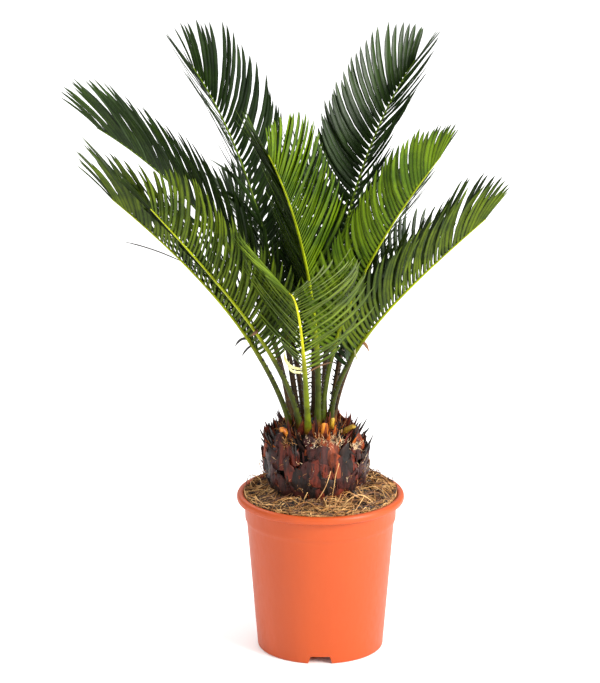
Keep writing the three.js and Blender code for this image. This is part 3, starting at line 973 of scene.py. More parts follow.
    def fibre(self, draw: np.random.Generator, arching: float) -> tuple[np.ndarray, float]:
        """Draw one loose fibre that lies in the mat or arches over it.

        Args:
            draw: The random source.
            arching: How far it arches, as a share of its length.

        Returns:
            Its path and its radius.
        """
        reach = math.sqrt(draw.uniform(0.32, 1.0)) * (self.lip_radius - 0.5)
        azimuth = draw.uniform(0.0, 360.0)
        if draw.uniform() < self.heaped_share:
            azimuth = self.heap_azimuth + draw.normal(0.0, self.heaped_spread)
        start = heading(azimuth, 0.0) * reach
        length = draw.uniform(*self.fibre_length)
        steps = self.fibre_steps
        turn = draw.uniform(0.0, 360.0)
        bend = draw.normal(0.0, 80.0) / steps
        path = [start[:2]]
        for _ in range(steps - 1):
            path.append(path[-1] + heading(turn, 0.0)[:2] * length / steps)
            turn += bend + draw.normal(0.0, 7.0)
        flat = np.array(path)
        spread = np.hypot(flat[:, 0], flat[:, 1])
        limit = self.lip_radius + self.spill
        flat *= np.where(spread > limit, limit / np.maximum(spread, 1e-6), 1.0)[:, None]
        ground = self.height_at(flat[:, 0], flat[:, 1])
        arch = np.sin(np.linspace(0.0, math.pi, steps)) * length * abs(draw.normal(0.0, arching))
        tilt = np.linspace(0.0, 1.0, steps) ** 2 * max(0.0, draw.normal(-1.0, 3.0))
        lift = draw.uniform(-1.0, 4.2)
        spread = np.hypot(flat[:, 0], flat[:, 1])
        outer = np.clip((spread - self.rim_bank_from) / self.rim_bank_over, 0.0, 1.0)
        inner = np.clip((self.trunk_bank_from - spread) / self.trunk_bank_over, 0.0, 1.0)
        bank = self.rim_bank * outer + self.trunk_bank * inner
        path = np.column_stack([flat, ground + arch + tilt + lift + bank])
        return path, draw.uniform(*self.fibre_radius)

    def mat(self) -> Piece:
        """Lay the coir fibres over the mound.

        Returns:
            The joined fibres, dressed.
        """
        draw = seeded("coir")
        heap = Heap("coir_fibres")
        for _ in range(self.fibres):
            path, radius = self.fibre(draw, self.fibre_arching)
            heap.add(tube(path, radius * np.linspace(1.0, 0.55, self.fibre_steps), 3),
                     picked(draw, self.fibre_shares))
        for _ in range(self.loops):
            path, _ = self.fibre(draw, self.loop_arching)
            heap.add(tube(path, self.loop_radius * np.linspace(1.0, 0.6, self.fibre_steps), 4),
                     picked(draw, self.loop_shares))
        return heap.piece((COIR_PALE, COIR_TAN, COIR_BROWN, COIR_DARK), Crease.FIBRE)

    def build(self) -> None:
        """Build the mound, its crumbs and its fibres, and dress them."""
        enter(self.mound(), self.slot, "soil")
        enter(self.crumb_heap(), self.slot)
        enter(self.mat(), self.slot)


# ---------------------------------------------------------------- the trunk


@dataclass(frozen=True)
class Spike:
    """A long dark spine of an old leaf base, by its place on the trunk."""

    azimuth: float
    foot: float
    length: float
    rise: float
    curl: float = 0.0


@dataclass(frozen=True)
class CollarRing:
    """A ring of pointed scales round the head, by its count, radius, foot, and each one's form."""

    count: int
    radius: float
    foot: float
    length: float
    half: float
    rise: float


@dataclass(frozen=True)
class Tuft:
    """A tuft of hairs, by its middle, its spread round the trunk, and its finish."""

    azimuth: float
    height: float
    spread: float
    finish: int = 0


@dataclass(frozen=True)
class Stub:
    """A cut leaf base that stands in the collar."""

    azimuth: float
    ring: float
    foot: float
    rise: float
    length: float
    radius: float = 4.6
    olive: bool = False


@dataclass
class Trunk:
    """A squat trunk under spiralling scales, with a collar of pointed scales and cut leaf bases."""

    centre_x: float = -3.5
    head_shift: float = -5.0
    stands_at: float = 178.0
    ground: float = 183.3
    profile: tuple[tuple[float, float], ...] = (
        (48.0, 0.0), (54.0, 12.0), (57.0, 28.0), (55.5, 46.0), (51.0, 60.0), (45.0, 70.0),
        (33.0, 79.0))
    core_share: float = 0.93
    core_sides: int = 72
    core_swell: float = 0.025
    scales: int = 72
    scale_feet: tuple[float, float] = (-12.0, 56.0)
    scale_half: float = 15.0
    scale_length: float = 32.0
    scale_thick: float = 4.0
    scale_stand_out: float = 2.8
    scale_rows: int = 11
    scale_columns: int = 9
    scale_chances: tuple[float, float] = (0.36, 0.24)
    slivers: int = 90
    sliver_shares: tuple[float, ...] = (0.2, 0.25, 0.28, 0.22, 0.05)
    collar_shares: tuple[float, ...] = (0.3, 0.12, 0.26, 0.22, 0.1)
    blade_rows: int = 7
    blade_section: tuple[tuple[float, float], ...] = (
        (-1.0, 0.0), (-0.5, -0.55), (0.0, -0.8), (0.5, -0.55), (1.0, 0.0), (0.5, 0.2),
        (0.0, 0.35), (-0.5, 0.2))
    stub_rings: tuple[tuple[float, float], ...] = (
        (0.0, 1.25), (0.3, 1.15), (0.6, 1.0), (0.85, 0.92), (0.96, 0.86), (1.0, 0.62),
        (0.985, 0.34))
    stub_sides: int = 12
    stub_buried: float = 10.0
    stub_slant: float = 0.9
    spike_radii: tuple[float, ...] = (2.2, 2.0, 1.7, 1.4, 1.05, 0.65, 0.15)
    more_spikes: int = 26
    tuft_hairs: int = 46
    tuft_lengths: tuple[float, float] = (4.0, 11.0)
    husk_hairs: int = 130
    husk_azimuth: float = 292.0
    husk_lengths: tuple[float, float] = (14.0, 28.0)
    head_hairs: int = 900
    head_lengths: tuple[float, float] = (6.0, 16.0)
    head_shares: tuple[float, ...] = (0.18, 0.46, 0.36)
    side_hairs: int = 420
    side_lengths: tuple[float, float] = (5.0, 14.0)
    side_shares: tuple[float, ...] = (0.2, 0.45, 0.35)
    hair_steps: int = 5
    hair_radii: tuple[float, float] = (0.34, 0.14)
    fibre_steps: int = 15
    fibre_radii: tuple[float, float] = (0.5, 0.3)
    slot: str = "trunk"
    rings: tuple[CollarRing, ...] = (
        CollarRing(26, 46.0, 54.0, 27.0, 4.8, 62.0), CollarRing(36, 42.0, 60.0, 30.0, 4.4, 68.0),
        CollarRing(36, 35.0, 66.0, 30.0, 4.0, 74.0), CollarRing(30, 26.0, 71.0, 27.0, 3.6, 80.0),
        CollarRing(20, 16.0, 75.0, 24.0, 3.2, 86.0))
    tufts: tuple[Tuft, ...] = (
        Tuft(290.0, 72.0, 13.0), Tuft(276.0, 70.0, 8.0), Tuft(302.0, 70.0, 7.0),
        Tuft(236.0, 68.0, 5.0, 1), Tuft(326.0, 62.0, 6.0))
    stubs: tuple[Stub, ...] = (
        Stub(219, 38, 63, 70, 21, 5.2), Stub(289, 35, 65, 84, 26, 4.2),
        Stub(336, 32, 71, 34, 22, 4.4, True), Stub(140, 34, 60, 64, 20), Stub(60, 36, 60, 62, 20),
        Stub(318, 26, 70, 82, 22, 3.6, True), Stub(95, 30, 62, 70, 20, 4.2, True))
    spikes: tuple[Spike, ...] = (
        Spike(190, 50, 17, 66, -20), Spike(172, 52, 20, 52, 18), Spike(205, 14, 15, 40, 20),
        Spike(352, 44, 26, 58, 14), Spike(20, 58, 24, 52, 10), Spike(330, 62, 24, 60, 12),
        Spike(4, 20, 12, 60, 10), Spike(118, 54, 18, 56, 16), Spike(75, 50, 20, 56, 16),
        Spike(95, 22, 14, 48, 16))
    fibre_routes: tuple[tuple[tuple[float, float], ...], ...] = (
        ((287, 46), (281, 30), (274, 14), (262, -2), (246, -6)),
        ((297, 52), (291, 42), (288, 28), (286, 12), (284, -4)),
        ((262, 20), (256, 8), (254, -4), (256, -8)), ((277, 12), (280, 2), (284, -6)),
        ((306, 8), (300, 2), (294, -3), (300, -7)), ((240, 10), (248, 4), (258, 0), (264, -6)),
        ((96, 40), (100, 20), (110, 0), (118, -6)), ((20, 30), (26, 14), (30, -4)),
        ((170, 34), (160, 12), (156, -6)))

    def radius_at(self, height: float) -> float:
        """The trunk's radius at a height above its flat cut."""
        return float(np.interp(height, [h for _, h in self.profile], [r for r, _ in self.profile]))

    def axis_at(self, height: float) -> np.ndarray:
        """The middle of the trunk at a height above its flat cut."""
        top = self.profile[-1][1]
        return np.array([self.centre_x + self.head_shift * height / top, 0.0, self.ground + height])

    def skin_point(self, azimuth: float, height: float, out: float) -> np.ndarray:
        """The point that stands out from the trunk's surface by a distance."""
        return self.axis_at(height) + heading(azimuth, 0.0) * (self.radius_at(height) + out)

    def core(self) -> Piece:
        """Spin the profile into the body that shows between the scales, near-black as painted shade
        in the gaps.

        Returns:
            The core, dressed.
        """
        draw = seeded("core")
        body = bmesh.new()
        base, top = self.stands_at - self.ground, self.profile[-1][1]
        outline = [(0.0, base), (self.profile[0][0] - 1.0, base)]
        outline += [(r * self.core_share, h) for r, h in self.profile] + [(0.0, top + 5.0)]
        verts = [body.verts.new((r, 0.0, h)) for r, h in outline]
        edges = [body.edges.new(pair) for pair in zip(verts, verts[1:])]
        bmesh.ops.subdivide_edges(body, edges=edges[2:], cuts=3)
        chain = list(body.verts) + list(body.edges)
        bmesh.ops.spin(body, geom=chain, cent=(0, 0, 0), axis=(0, 0, 1), dvec=(0, 0, 0),
                       angle=2.0 * math.pi, steps=self.core_sides, use_merge=True,
                       use_duplicate=False)
        bmesh.ops.remove_doubles(body, verts=body.verts, dist=1e-4)
        for vertex in body.verts:
            shift = self.centre_x + self.head_shift * max(0.0, vertex.co.z) / top
            swell = 1.0 + float(draw.uniform(-self.core_swell, self.core_swell))
            vertex.co = Vector((vertex.co.x * swell + shift, vertex.co.y * swell,
                                vertex.co.z + self.ground))
        bmesh.ops.scale(body, vec=(MM, MM, MM), verts=body.verts)
        bmesh.ops.recalc_face_normals(body, faces=body.faces)
        return place_mesh(mesh_of(body, "trunk_core", BARK_CORE_PAINTED_SHADE), Crease.STALK)

    def scale_shape(self, azimuth: float, height: float, half: float, length: float, thick: float,
                    stand_out: float, curl: float, lean: float,
                    draw: np.random.Generator) -> Shape:
        """Shape one pointed scale that lies on the trunk and turns out at its tip.

        Args:
            azimuth: Where it grows, in degrees round the trunk.
            height: The height of its foot.
            half: Half its width.
            length: Its length.
            thick: Its thickness.
            stand_out: How far it has left the trunk near its tip.
            curl: How far its tip turns out beyond that.
            lean: How far its tip leans sideways, in degrees round the trunk.
            draw: The random source.

        Returns:
            Its places and faces.
        """
        waves = draw.uniform(0.0, 6.3, 3)
        blunt = draw.uniform(1.7, 3.2)
        skew = draw.normal(0.0, 5.0)
        ragged = draw.normal(0.0, 1.3, self.scale_columns)
        spread = np.linspace(-1.0, 1.0, self.scale_columns)
        rings = []
        for v in np.linspace(0.0, 1.0, self.scale_rows):
            share = 0.72 + 0.28 * math.sin(min(1.0, v / 0.45) * math.pi / 2.0)
            share *= 1.0 - max(0.0, (v - 0.62) / 0.38) ** blunt
            share = max(share, 0.035) * (1.0 + 0.1 * math.sin(v * 9.0 + waves[0]))
            rise = height + v * length
            base = self.radius_at(height)
            radius = base + (self.radius_at(rise) - base) * 0.55 + stand_out * v ** 1.1
            radius += curl * max(0.0, (v - 0.66) / 0.34) ** 1.8 - 1.6 * (1.0 - v)
            depth = thick * (1.0 - 0.72 * v ** 1.6)
            front, back = [], []
            for u in spread:
                round_off = (1.0 - u * u) ** 0.6
                ridge = 0.35 * max(0.0, 1.0 - abs(u) * 2.2) * depth
                groove = 0.45 * math.sin(u * 11.0 + waves[1] + v * 1.5) * (1.0 - 0.5 * v)
                groove += draw.normal(0.0, 0.14)
                turn = azimuth + math.degrees(u * share * half / base) + lean * v * v
                out = heading(turn, 0.0)
                top = UP * (skew * u + ragged[len(front)]) * v ** 3 * min(1.0, length / 30.0)
                middle = self.axis_at(rise) + top
                front.append(middle + out * (radius + depth * round_off + ridge + groove))
                back.append(middle + out * (radius - depth * 0.35 * round_off))
            rings.append(front + back[-2:0:-1])
        return skin(np.array(rings))

    def scale_heap(self) -> Piece:
        """Wind the scales round the trunk, from the lowest up, each next one a golden turn on.

        Returns:
            The joined scales, dressed.
        """
        draw = seeded("scales")
        heap = Heap("trunk_scales")
        low, high = self.scale_feet
        for index in range(self.scales):
            share = index / (self.scales - 1)
            height = low + (high - low) * share + draw.normal(0.0, 1.2)
            azimuth = index * GOLDEN_TURN + draw.normal(0.0, 4.0)
            half = self.scale_half * (1.0 - 0.26 * share) * draw.uniform(0.7, 1.3)
            length = self.scale_length * draw.uniform(0.8, 1.15) * (1.0 - 0.24 * share)
            thick = self.scale_thick * draw.uniform(0.8, 1.2)
            stand_out = self.scale_stand_out * draw.uniform(0.5, 1.4)
            chances = np.array([*self.scale_chances, 0.05 + 0.1 * share, 0.32])
            heap.add(self.scale_shape(azimuth, height, half, length, thick, stand_out,
                                      draw.uniform(0.2, 4.2), draw.normal(0.0, 4.0), draw),
                     picked(draw, chances / chances.sum()))
        for _ in range(self.slivers):
            heap.add(self.scale_shape(draw.uniform(0.0, 360.0), draw.uniform(0.0, 52.0),
                                      draw.uniform(0.8, 2.2), draw.uniform(12.0, 26.0), 1.2,
                                      draw.uniform(2.5, 4.5), draw.uniform(0.0, 3.0),
                                      draw.normal(0.0, 4.0), draw),
                     picked(draw, self.sliver_shares))
        return heap.piece((*SCALES, WOOL), Crease.SCALE)

    def blade(self, foot: np.ndarray, azimuth: float, rise: float, length: float, half: float,
              curl: float, draw: np.random.Generator) -> Shape:
        """Shape one free-standing pointed scale of the collar.

        Args:
            foot: Where it stands.
            azimuth: The way that it leans, in degrees.
            rise: How steeply it stands, in degrees.
            length: Its length.
            half: Half its width.
            curl: How far it bends outwards on its way up, in degrees.
            draw: The random source.

        Returns:
            Its places and faces.
        """
        place = foot
        side = heading(azimuth - 90.0 + draw.normal(0.0, 12.0), 0.0)
        rings = []
        for v in np.linspace(0.0, 1.0, self.blade_rows):
            axis = heading(azimuth, rise - curl * v)
            out = np.cross(side, axis)
            share = 0.8 + 0.6 * v if v < 0.33 else 1.0 - ((v - 0.33) / 0.67) ** 1.3
            width = half * max(0.04, share)
            depth = width * 0.42
            rings.append([place + side * a * width - out * b * depth
                          for a, b in self.blade_section])
            place = place + axis * length / (self.blade_rows - 1)
        return skin(np.array(rings))

    def collar(self) -> Piece:
        """Set rings of upright pointed scales round the head, among the leaf bases.

        Returns:
            The joined scales, dressed.
        """
        draw = seeded("collar")
        heap = Heap("collar_scales")
        for ring in self.rings:
            for index in range(ring.count):
                azimuth = (index + draw.uniform(-0.35, 0.35)) * 360.0 / ring.count
                place = (self.axis_at(ring.foot - 5.0)
                         + heading(azimuth, 0.0) * (ring.radius + draw.normal(0.0, 1.5)))
                heap.add(self.blade(place, azimuth + draw.normal(0.0, 30.0),
                                    ring.rise + draw.normal(0.0, 9.0),
                                    ring.length * draw.uniform(0.6, 1.25),
                                    ring.half * draw.uniform(0.6, 1.3),
                                    draw.uniform(-6.0, 22.0), draw),
                         picked(draw, self.collar_shares))
        return heap.piece((*SCALES, HUSK), Crease.SCALE)

    def stub_heap(self) -> Piece:
        """Stand the cut leaf bases in the collar.

        Returns:
            The joined stubs, dressed.
        """
        draw = seeded("stubs")
        heap = Heap("cut_leaf_bases")
        cosines, sines = circle(self.stub_sides)
        slanted = self.stub_slant * (cosines * math.cos(1.0) + sines * math.sin(1.0))
        for stub in self.stubs:
            axis = heading(stub.azimuth, stub.rise)
            side = heading(stub.azimuth - 90.0, 0.0)
            other = np.cross(axis, side)
            foot = (self.axis_at(stub.foot) + heading(stub.azimuth, 0.0) * stub.ring
                    - axis * self.stub_buried)
            wobble = draw.uniform(0.86, 1.1, cosines.shape)
            rings = []
            for share, girth in self.stub_rings:
                along = share * (stub.length + self.stub_buried)
                ring = stub.radius * girth * wobble * draw.uniform(0.95, 1.05, cosines.shape)
                slant = slanted if share > 0.8 else 0.0 * slanted
                rings.append(foot + axis * (along + slant)
                             + ring * (cosines * side + 0.72 * sines * other))
            heap.add(skin(np.array(rings)), 1 if stub.olive else 0)
        return heap.piece((STUB_GOLD, STUB_OLIVE), Crease.STUB)

    def spike_heap(self) -> Piece:
        """Set the dark spines on the trunk's sides and a few more round its shoulder.

        Returns:
            The joined spines, dressed.
        """
        draw = seeded("spikes")
        heap = Heap("trunk_spines")
        more = [Spike(draw.uniform(0, 360), draw.uniform(46, 68), draw.uniform(9, 18),
                      draw.uniform(50, 80), draw.uniform(-15, 20))
                for _ in range(self.more_spikes)]
        steps = len(self.spike_radii) - 1
        for spike in (*self.spikes, *more):
            rise = spike.rise
            path = [self.skin_point(spike.azimuth, spike.foot, -2.0)]
            for _ in range(steps):
                path.append(path[-1] + heading(spike.azimuth, rise) * (spike.length + 3.0) / steps)
                rise += spike.curl / steps
            heap.add(tube(np.array(path), np.array(self.spike_radii), 6, 0.8))
        return heap.piece((THORN,), Crease.STALK)

    def wool(self) -> Piece:
        """Tuft the head and the gaps between scales with pale and rusty hairs.

        Returns:
            The joined hairs, dressed.
        """
        draw = seeded("wool")
        heap = Heap("head_wool")
        finishes = (WOOL, COIR_TAN, SCALE_RUST, HUSK)
        for tuft in self.tufts:
            for _ in range(self.tuft_hairs):
                turn = tuft.azimuth + draw.normal(0.0, tuft.spread)
                start = self.skin_point(turn, tuft.height + draw.normal(0.0, 2.2), 5.0)
                heap.add(self.hair(start, turn, draw, self.tuft_lengths), tuft.finish)
        for _ in range(self.husk_hairs):
            turn = self.husk_azimuth + draw.normal(0.0, 16.0)
            start = (self.axis_at(draw.uniform(66.0, 74.0))
                     + heading(turn, 0.0) * draw.uniform(20.0, 38.0))
            heap.add(self.hair(start, turn, draw, self.husk_lengths), finishes.index(HUSK))
        for _ in range(self.head_hairs):
            turn = draw.uniform(0.0, 360.0)
            reach = draw.uniform(8.0, 40.0)
            start = self.axis_at(66.0 + draw.uniform(0.0, 10.0)) + heading(turn, 0.0) * reach
            heap.add(self.hair(start, turn, draw, self.head_lengths),
                     picked(draw, self.head_shares))
        for _ in range(self.side_hairs):
            turn = draw.uniform(0.0, 360.0)
            start = self.skin_point(turn, draw.uniform(4.0, 60.0), 1.0)
            heap.add(self.hair(start, turn, draw, self.side_lengths),
                     picked(draw, self.side_shares))
        return heap.piece(finishes, Crease.FIBRE)

    def hair(self, start: np.ndarray, azimuth: float, draw: np.random.Generator,
             lengths: tuple[float, float]) -> Shape:
        """Shape one hair that rises from its root and bends.

        Args:
            start: Its root.
            azimuth: The way that the trunk's surface faces there, in degrees.
            draw: The random source.
            lengths: Its least and its greatest length.

        Returns:
            Its places and faces.
        """
        steps = self.hair_steps
        length = draw.uniform(*lengths)
        turn, rise = azimuth + draw.normal(0.0, 45.0), draw.uniform(10.0, 88.0)
        bend, sag = draw.normal(0.0, 26.0), draw.normal(-6.0, 20.0)
        path = [start]
        for _ in range(steps - 1):
            path.append(path[-1] + heading(turn, rise) * length / steps)
            turn, rise = turn + bend, rise + sag
        return tube(np.array(path), np.linspace(*self.hair_radii, steps), 3)

    def long_fibres(self) -> Piece:
        """Drape a few long tan fibres over the trunk's front.

        Returns:
            The joined fibres, dressed.
        """
        draw = seeded("long fibres")
        heap = Heap("long_fibres")
        steps = self.fibre_steps
        even = np.linspace(0.0, 1.0, steps)
        for route in self.fibre_routes:
            knots = np.linspace(0.0, 1.0, len(route))
            turns, heights = (
                np.convolve(np.pad(np.interp(even, knots, values), 2, "edge"), np.ones(5) / 5.0,
                            "valid") for values in zip(*route))
            outs = (8.5 + np.sin(np.linspace(0, math.pi, steps)) * draw.uniform(1.0, 4.0)
                    + np.clip(-heights, 0, 20) * 1.6)
            path = np.array([self.skin_point(t, h, o) for t, h, o in zip(turns, heights, outs)])
            heap.add(tube(path, np.linspace(*self.fibre_radii, steps), 5))
        return heap.piece((COIR_PALE,), Crease.FIBRE)

    def build(self) -> None:
        """Build the core, scales, collar, stubs, spines and hairs, and dress them."""
        enter(self.core(), self.slot, "trunk")
        for make in (self.scale_heap, self.collar, self.stub_heap, self.spike_heap, self.wool,
                     self.long_fibres):
            enter(make(), self.slot)


# ---------------------------------------------------------------- the fronds


UPPER_FACE, LOWER_FACE = 0, 1
LEAFLET_STATIONS = ((0.0, 0.5), (0.04, 0.82), (0.14, 0.97), (0.36, 1.0), (0.6, 1.0), (0.78, 0.88),
                    (0.91, 0.56), (1.0, 0.05))
LEAFLET_SECTION = np.array([(-1.0, -0.22), (-0.55, 0.04), (0.0, -0.07), (0.55, 0.04),
                            (1.0, -0.22), (0.5, -0.13), (0.0, -0.3), (-0.5, -0.13)])


@dataclass(frozen=True)
class Stray:
    """A leaflet that left its row, by where it bends towards and ends, seen from its root."""

    share: float
    bend: Triple
    end: Triple
    width: float
    finish: int


@dataclass
class Frond:
    """One frond: a petiole and rachis with two close rows of narrow leaflets set in a V."""

    name: str
    foot: Triple
    azimuth: float
    rise: tuple[float, float]
    bend: float
    sweep: float
    length: float
    bare: float
    leaflet: float
    spread: float
    tip: float
    keel: float
    roll: float
    tone: Tone
    strays: tuple[Stray, ...] = ()
    mound: float = 183.0
    spacing: float = 6.6
    widest: float = 5.4
    room_share: float = 1.2
    shingle: float = 15.0
    curl: float = 34.0
    # Painted shade: a leaflet's brightness at the eight points of its section, darkest at the edges
    # where its neighbours would shade it, a little lifted at the paler midrib.
    painted_shade_across: tuple[float, ...] = (0.26, 1.0, 1.1, 1.14, 0.4, 0.98, 1.22, 0.98)
    end_share: float = 0.48
    foot_half: float = 5.0
    petiole_half: float = 3.5
    tip_half: float = 1.0
    foot_angle: float = 62.0
    foot_until: float = 0.35
    closing_from: float = 0.72
    shortening_from: float = 0.8
    pair_jitter: float = 0.05
    keel_jitter: float = 3.0
    angle_jitter: float = 1.3
    twist_jitter: float = 7.0
    length_jitter: float = 0.03
    curls: tuple[float, float] = (0.8, 1.3)
    widths: tuple[float, float] = (0.9, 1.04)
    brightnesses: tuple[float, float] = (0.8, 1.16)
    most_sag: float = 0.05
    stray_steps: int = 13
    stray_flat: float = 0.3
    slimmed: float = 0.3
    slimmed_over: float = 0.12
    sheath: float = 14.0
    sheath_rings: tuple[tuple[float, float], ...] = ((1.0, 1.25), (0.5, 1.2))
    stalk_stations: int = 64
    stalk_sides: int = 12
    stalk_ridge: float = 0.06
    spine_spacing: float = 7.5
    spine_radii: tuple[float, ...] = (1.1, 0.85, 0.55, 0.1)
    slot: str = "frond"
    line: np.ndarray = field(init=False, repr=False)

    def __post_init__(self) -> None:
        """Walk the frond's line once, so that its points can be looked up."""
        steps = 240
        places = [np.array([self.foot[0], self.foot[1], self.mound + self.foot[2]])]
        for index in range(steps):
            along = self.frame_at((index + 0.5) / steps)[0]
            places.append(places[-1] + along * self.length / steps)
        self.line = np.array(places)

    def frame_at(self, share: float) -> tuple[np.ndarray, np.ndarray, np.ndarray]:
        """Find the frond's frame.

        Args:
            share: Where, as a share of its length.

        Returns:
            Its direction, the direction of its side and that of its upper face.
        """
        azimuth = self.azimuth + self.sweep * share * share
        bent = (1.0 - math.exp(-self.bend * share)) / (1.0 - math.exp(-self.bend))
        along = heading(azimuth, self.rise[0] + (self.rise[1] - self.rise[0]) * bent)
        side = heading(azimuth - 90.0, 0.0)
        return along, side, np.cross(side, along)

    def point_at(self, share: float) -> np.ndarray:
        """Find a point of the rachis.

        Args:
            share: Where, as a share of the frond's length.

        Returns:
            The point.
        """
        whole = share * (len(self.line) - 1)
        low = min(int(whole), len(self.line) - 2)
        return self.line[low] + (self.line[low + 1] - self.line[low]) * (whole - low)

    def half_at(self, share: float) -> float:
        """Find half the thickness of the petiole or the rachis.

        Args:
            share: Where, as a share of the frond's length.

        Returns:
            Half the thickness.
        """
        flare = max(0.0, 1.0 - 3.0 * share / self.bare)
        past = max(0.0, (share - self.bare) / self.slimmed_over)
        slimming = 1.0 - self.slimmed * min(1.0, past)
        return slimming * (self.petiole_half + (self.tip_half - self.petiole_half) * share
                           + (self.foot_half - self.petiole_half) * flare)

    def leaflet_share(self, t: float) -> float:
        """The length at t, from the first pair (0) to the last (1), as a share of the longest."""
        shortening = max(0.0, (t - self.shortening_from) / (1.0 - self.shortening_from)) ** 1.3
        return min(1.0, 0.4 + t / 0.2) - (1.0 - self.end_share) * shortening

    def leaflet_angle(self, t: float) -> float:
        """Find the angle between a leaflet and the rachis.

        Args:
            t: Where, from the first pair (0) to the last (1).

        Returns:
            The angle in degrees.
        """
        opening = (self.foot_angle - self.spread) * max(0.0, 1.0 - t / self.foot_until)
        closed = max(0.0, (t - self.closing_from) / (1.0 - self.closing_from)) ** 1.4
        return self.spread + opening - (self.spread - self.tip) * closed

    def pair_count(self) -> int:
        """How many pairs of leaflets the rachis carries."""
        return round(self.length * (1.0 - self.bare) / self.spacing)

    def leaflet_width(self, t: float) -> float:
        """Find a leaflet's width, as a share of the room between it and the next.

        Args:
            t: Where, from the first pair (0) to the last (1).

        Returns:
            The width.
        """
        angle = self.leaflet_angle(t)
        fan = math.radians(angle - self.leaflet_angle(min(1.0, t + 1.0 / self.pair_count())))
        reach = self.leaflet * self.leaflet_share(t) * 0.6
        room = self.spacing * math.sin(math.radians(angle)) + reach * fan
        return max(2.4, min(self.widest, self.room_share * room))

    def blade(self, root: np.ndarray, along: np.ndarray, outward: np.ndarray, under: np.ndarray,
              angle: float, curl: float, length: float, width: float, sag: float,
              twist: float) -> np.ndarray:
        """Shape one sabre-like leaflet with rolled edges and a raised midrib below.

        Args:
            root: Where it leaves the rachis.
            along: The rachis's unit direction.
            outward: The unit direction square to the rachis that the leaflet opens towards.
            under: The unit direction that its lower face looks to.
            angle: The angle between the rachis and the leaflet's middle, in degrees.
            curl: How far it turns towards the rachis from root to tip, in degrees.
            length: Its length.
            width: Its width.
            sag: How far its tip hangs.
            twist: How far it twists from root to tip, in degrees.

        Returns:
            Its rings of eight points, of which the first five are the upper side.
        """
        turn = math.radians(max(curl, 1.0))
        start = math.radians(angle) + turn / 2.0
        rings = []
        for s, share in LEAFLET_STATIONS:
            here = start - turn * s
            arc = ((math.sin(start) - math.sin(here)) * along
                   + (math.cos(here) - math.cos(start)) * outward)
            centre = root + under * sag * s * s + length / turn * arc
            wide = math.sin(here) * along - math.cos(here) * outward
            spun = math.radians(self.shingle + twist * s)
            cross = math.cos(spun) * wide + math.sin(spun) * under
            normal = math.sin(spun) * wide - math.cos(spun) * under
            rings.append(centre + 0.5 * width * share
                         * (LEAFLET_SECTION[:, :1] * cross + LEAFLET_SECTION[:, 1:] * normal))
        return np.array(rings)

    def leaflets(self) -> Piece:
        """Grow the two rows of leaflets along the rachis.

        Returns:
            The joined leaflets, dressed.
        """
        draw, tint = seeded(self.name), seeded(f"{self.name} tint")
        heap = Heap(f"{self.name}_leaflets")
        count = self.pair_count()
        turn = math.radians(self.roll)
        for pair in range(count):
            for hand in (1.0, -1.0):
                t = (pair + 0.5 + 0.2 * hand + draw.normal(0.0, self.pair_jitter)) / count
                t = min(max(t, 0.0), 1.0)
                share = self.bare + (1.0 - self.bare) * t
                along, side, face = self.frame_at(share)
                rolled = math.cos(turn) * side + math.sin(turn) * face
                raised = math.cos(turn) * face - math.sin(turn) * side
                keel = math.radians(self.keel + draw.normal(0.0, self.keel_jitter))
                outward = hand * math.cos(keel) * rolled + math.sin(keel) * raised
                under = hand * np.cross(along, outward)
                angle = self.leaflet_angle(t)
                curl = self.curl * min(1.0, angle / self.spread) * draw.uniform(*self.curls)
                angle += draw.normal(0.0, self.angle_jitter)
                root = self.point_at(share) + outward * self.half_at(share) * 0.55
                longer = 1.0 + draw.normal(0.0, self.length_jitter)
                length = self.leaflet * self.leaflet_share(t) * longer
                width = self.leaflet_width(t) * draw.uniform(*self.widths)
                rings = self.blade(root, along, outward, under, angle, curl, length, width,
                                   length * draw.uniform(0.0, self.most_sag),
                                   draw.normal(0.0, self.twist_jitter))
                self.add_blade(heap, rings, tint.uniform(*self.brightnesses))
        for stray in self.strays:
            self.add_stray(heap, stray)
        return heap.piece((*self.tone.value.leaflet_finishes(), DRIED_PALE, DRIED_TAN, THORN),
                          Crease.LEAFLET)

    def add_blade(self, heap: Heap, rings: np.ndarray, brightness: float) -> None:
        """Skin a leaflet's rings, with painted shade darkening its edges, and its two faces in
        their own finishes.

        Args:
            heap: The heap that takes it.
            rings: Its rings of eight points, of which the first five are the upper side.
            brightness: How bright it is beside its neighbours.
        """
        heap.add(skin(rings), LOWER_FACE, brightness * np.tile(self.painted_shade_across, len(rings)))
        around = rings.shape[1]
        sides = np.arange((len(rings) - 1) * around)
        heap.finishes[-1][sides] = np.where(sides % around < 4, UPPER_FACE, LOWER_FACE)

    def add_stray(self, heap: Heap, stray: Stray) -> None:
        """Add a stray leaflet that bends in one sweep from its root to its end.

        Args:
            heap: The heap that takes it.
            stray: The stray.
        """
        shares = np.linspace(0.0, 1.0, self.stray_steps)[:, None]
        path = (self.point_at(stray.share) + 2.0 * shares * (1.0 - shares) * np.array(stray.bend)
                + shares * shares * np.array(stray.end))
        widening = np.minimum(1.0, 0.5 + 3.0 * shares[:, 0])
        pointing = np.clip((1.0 - shares[:, 0]) / 0.3, 0.06, 1.0)
        radii = 0.5 * stray.width * widening * pointing
        heap.add(tube(path, radii, 6, self.stray_flat, UP + 0.3 * EAST), stray.finish)

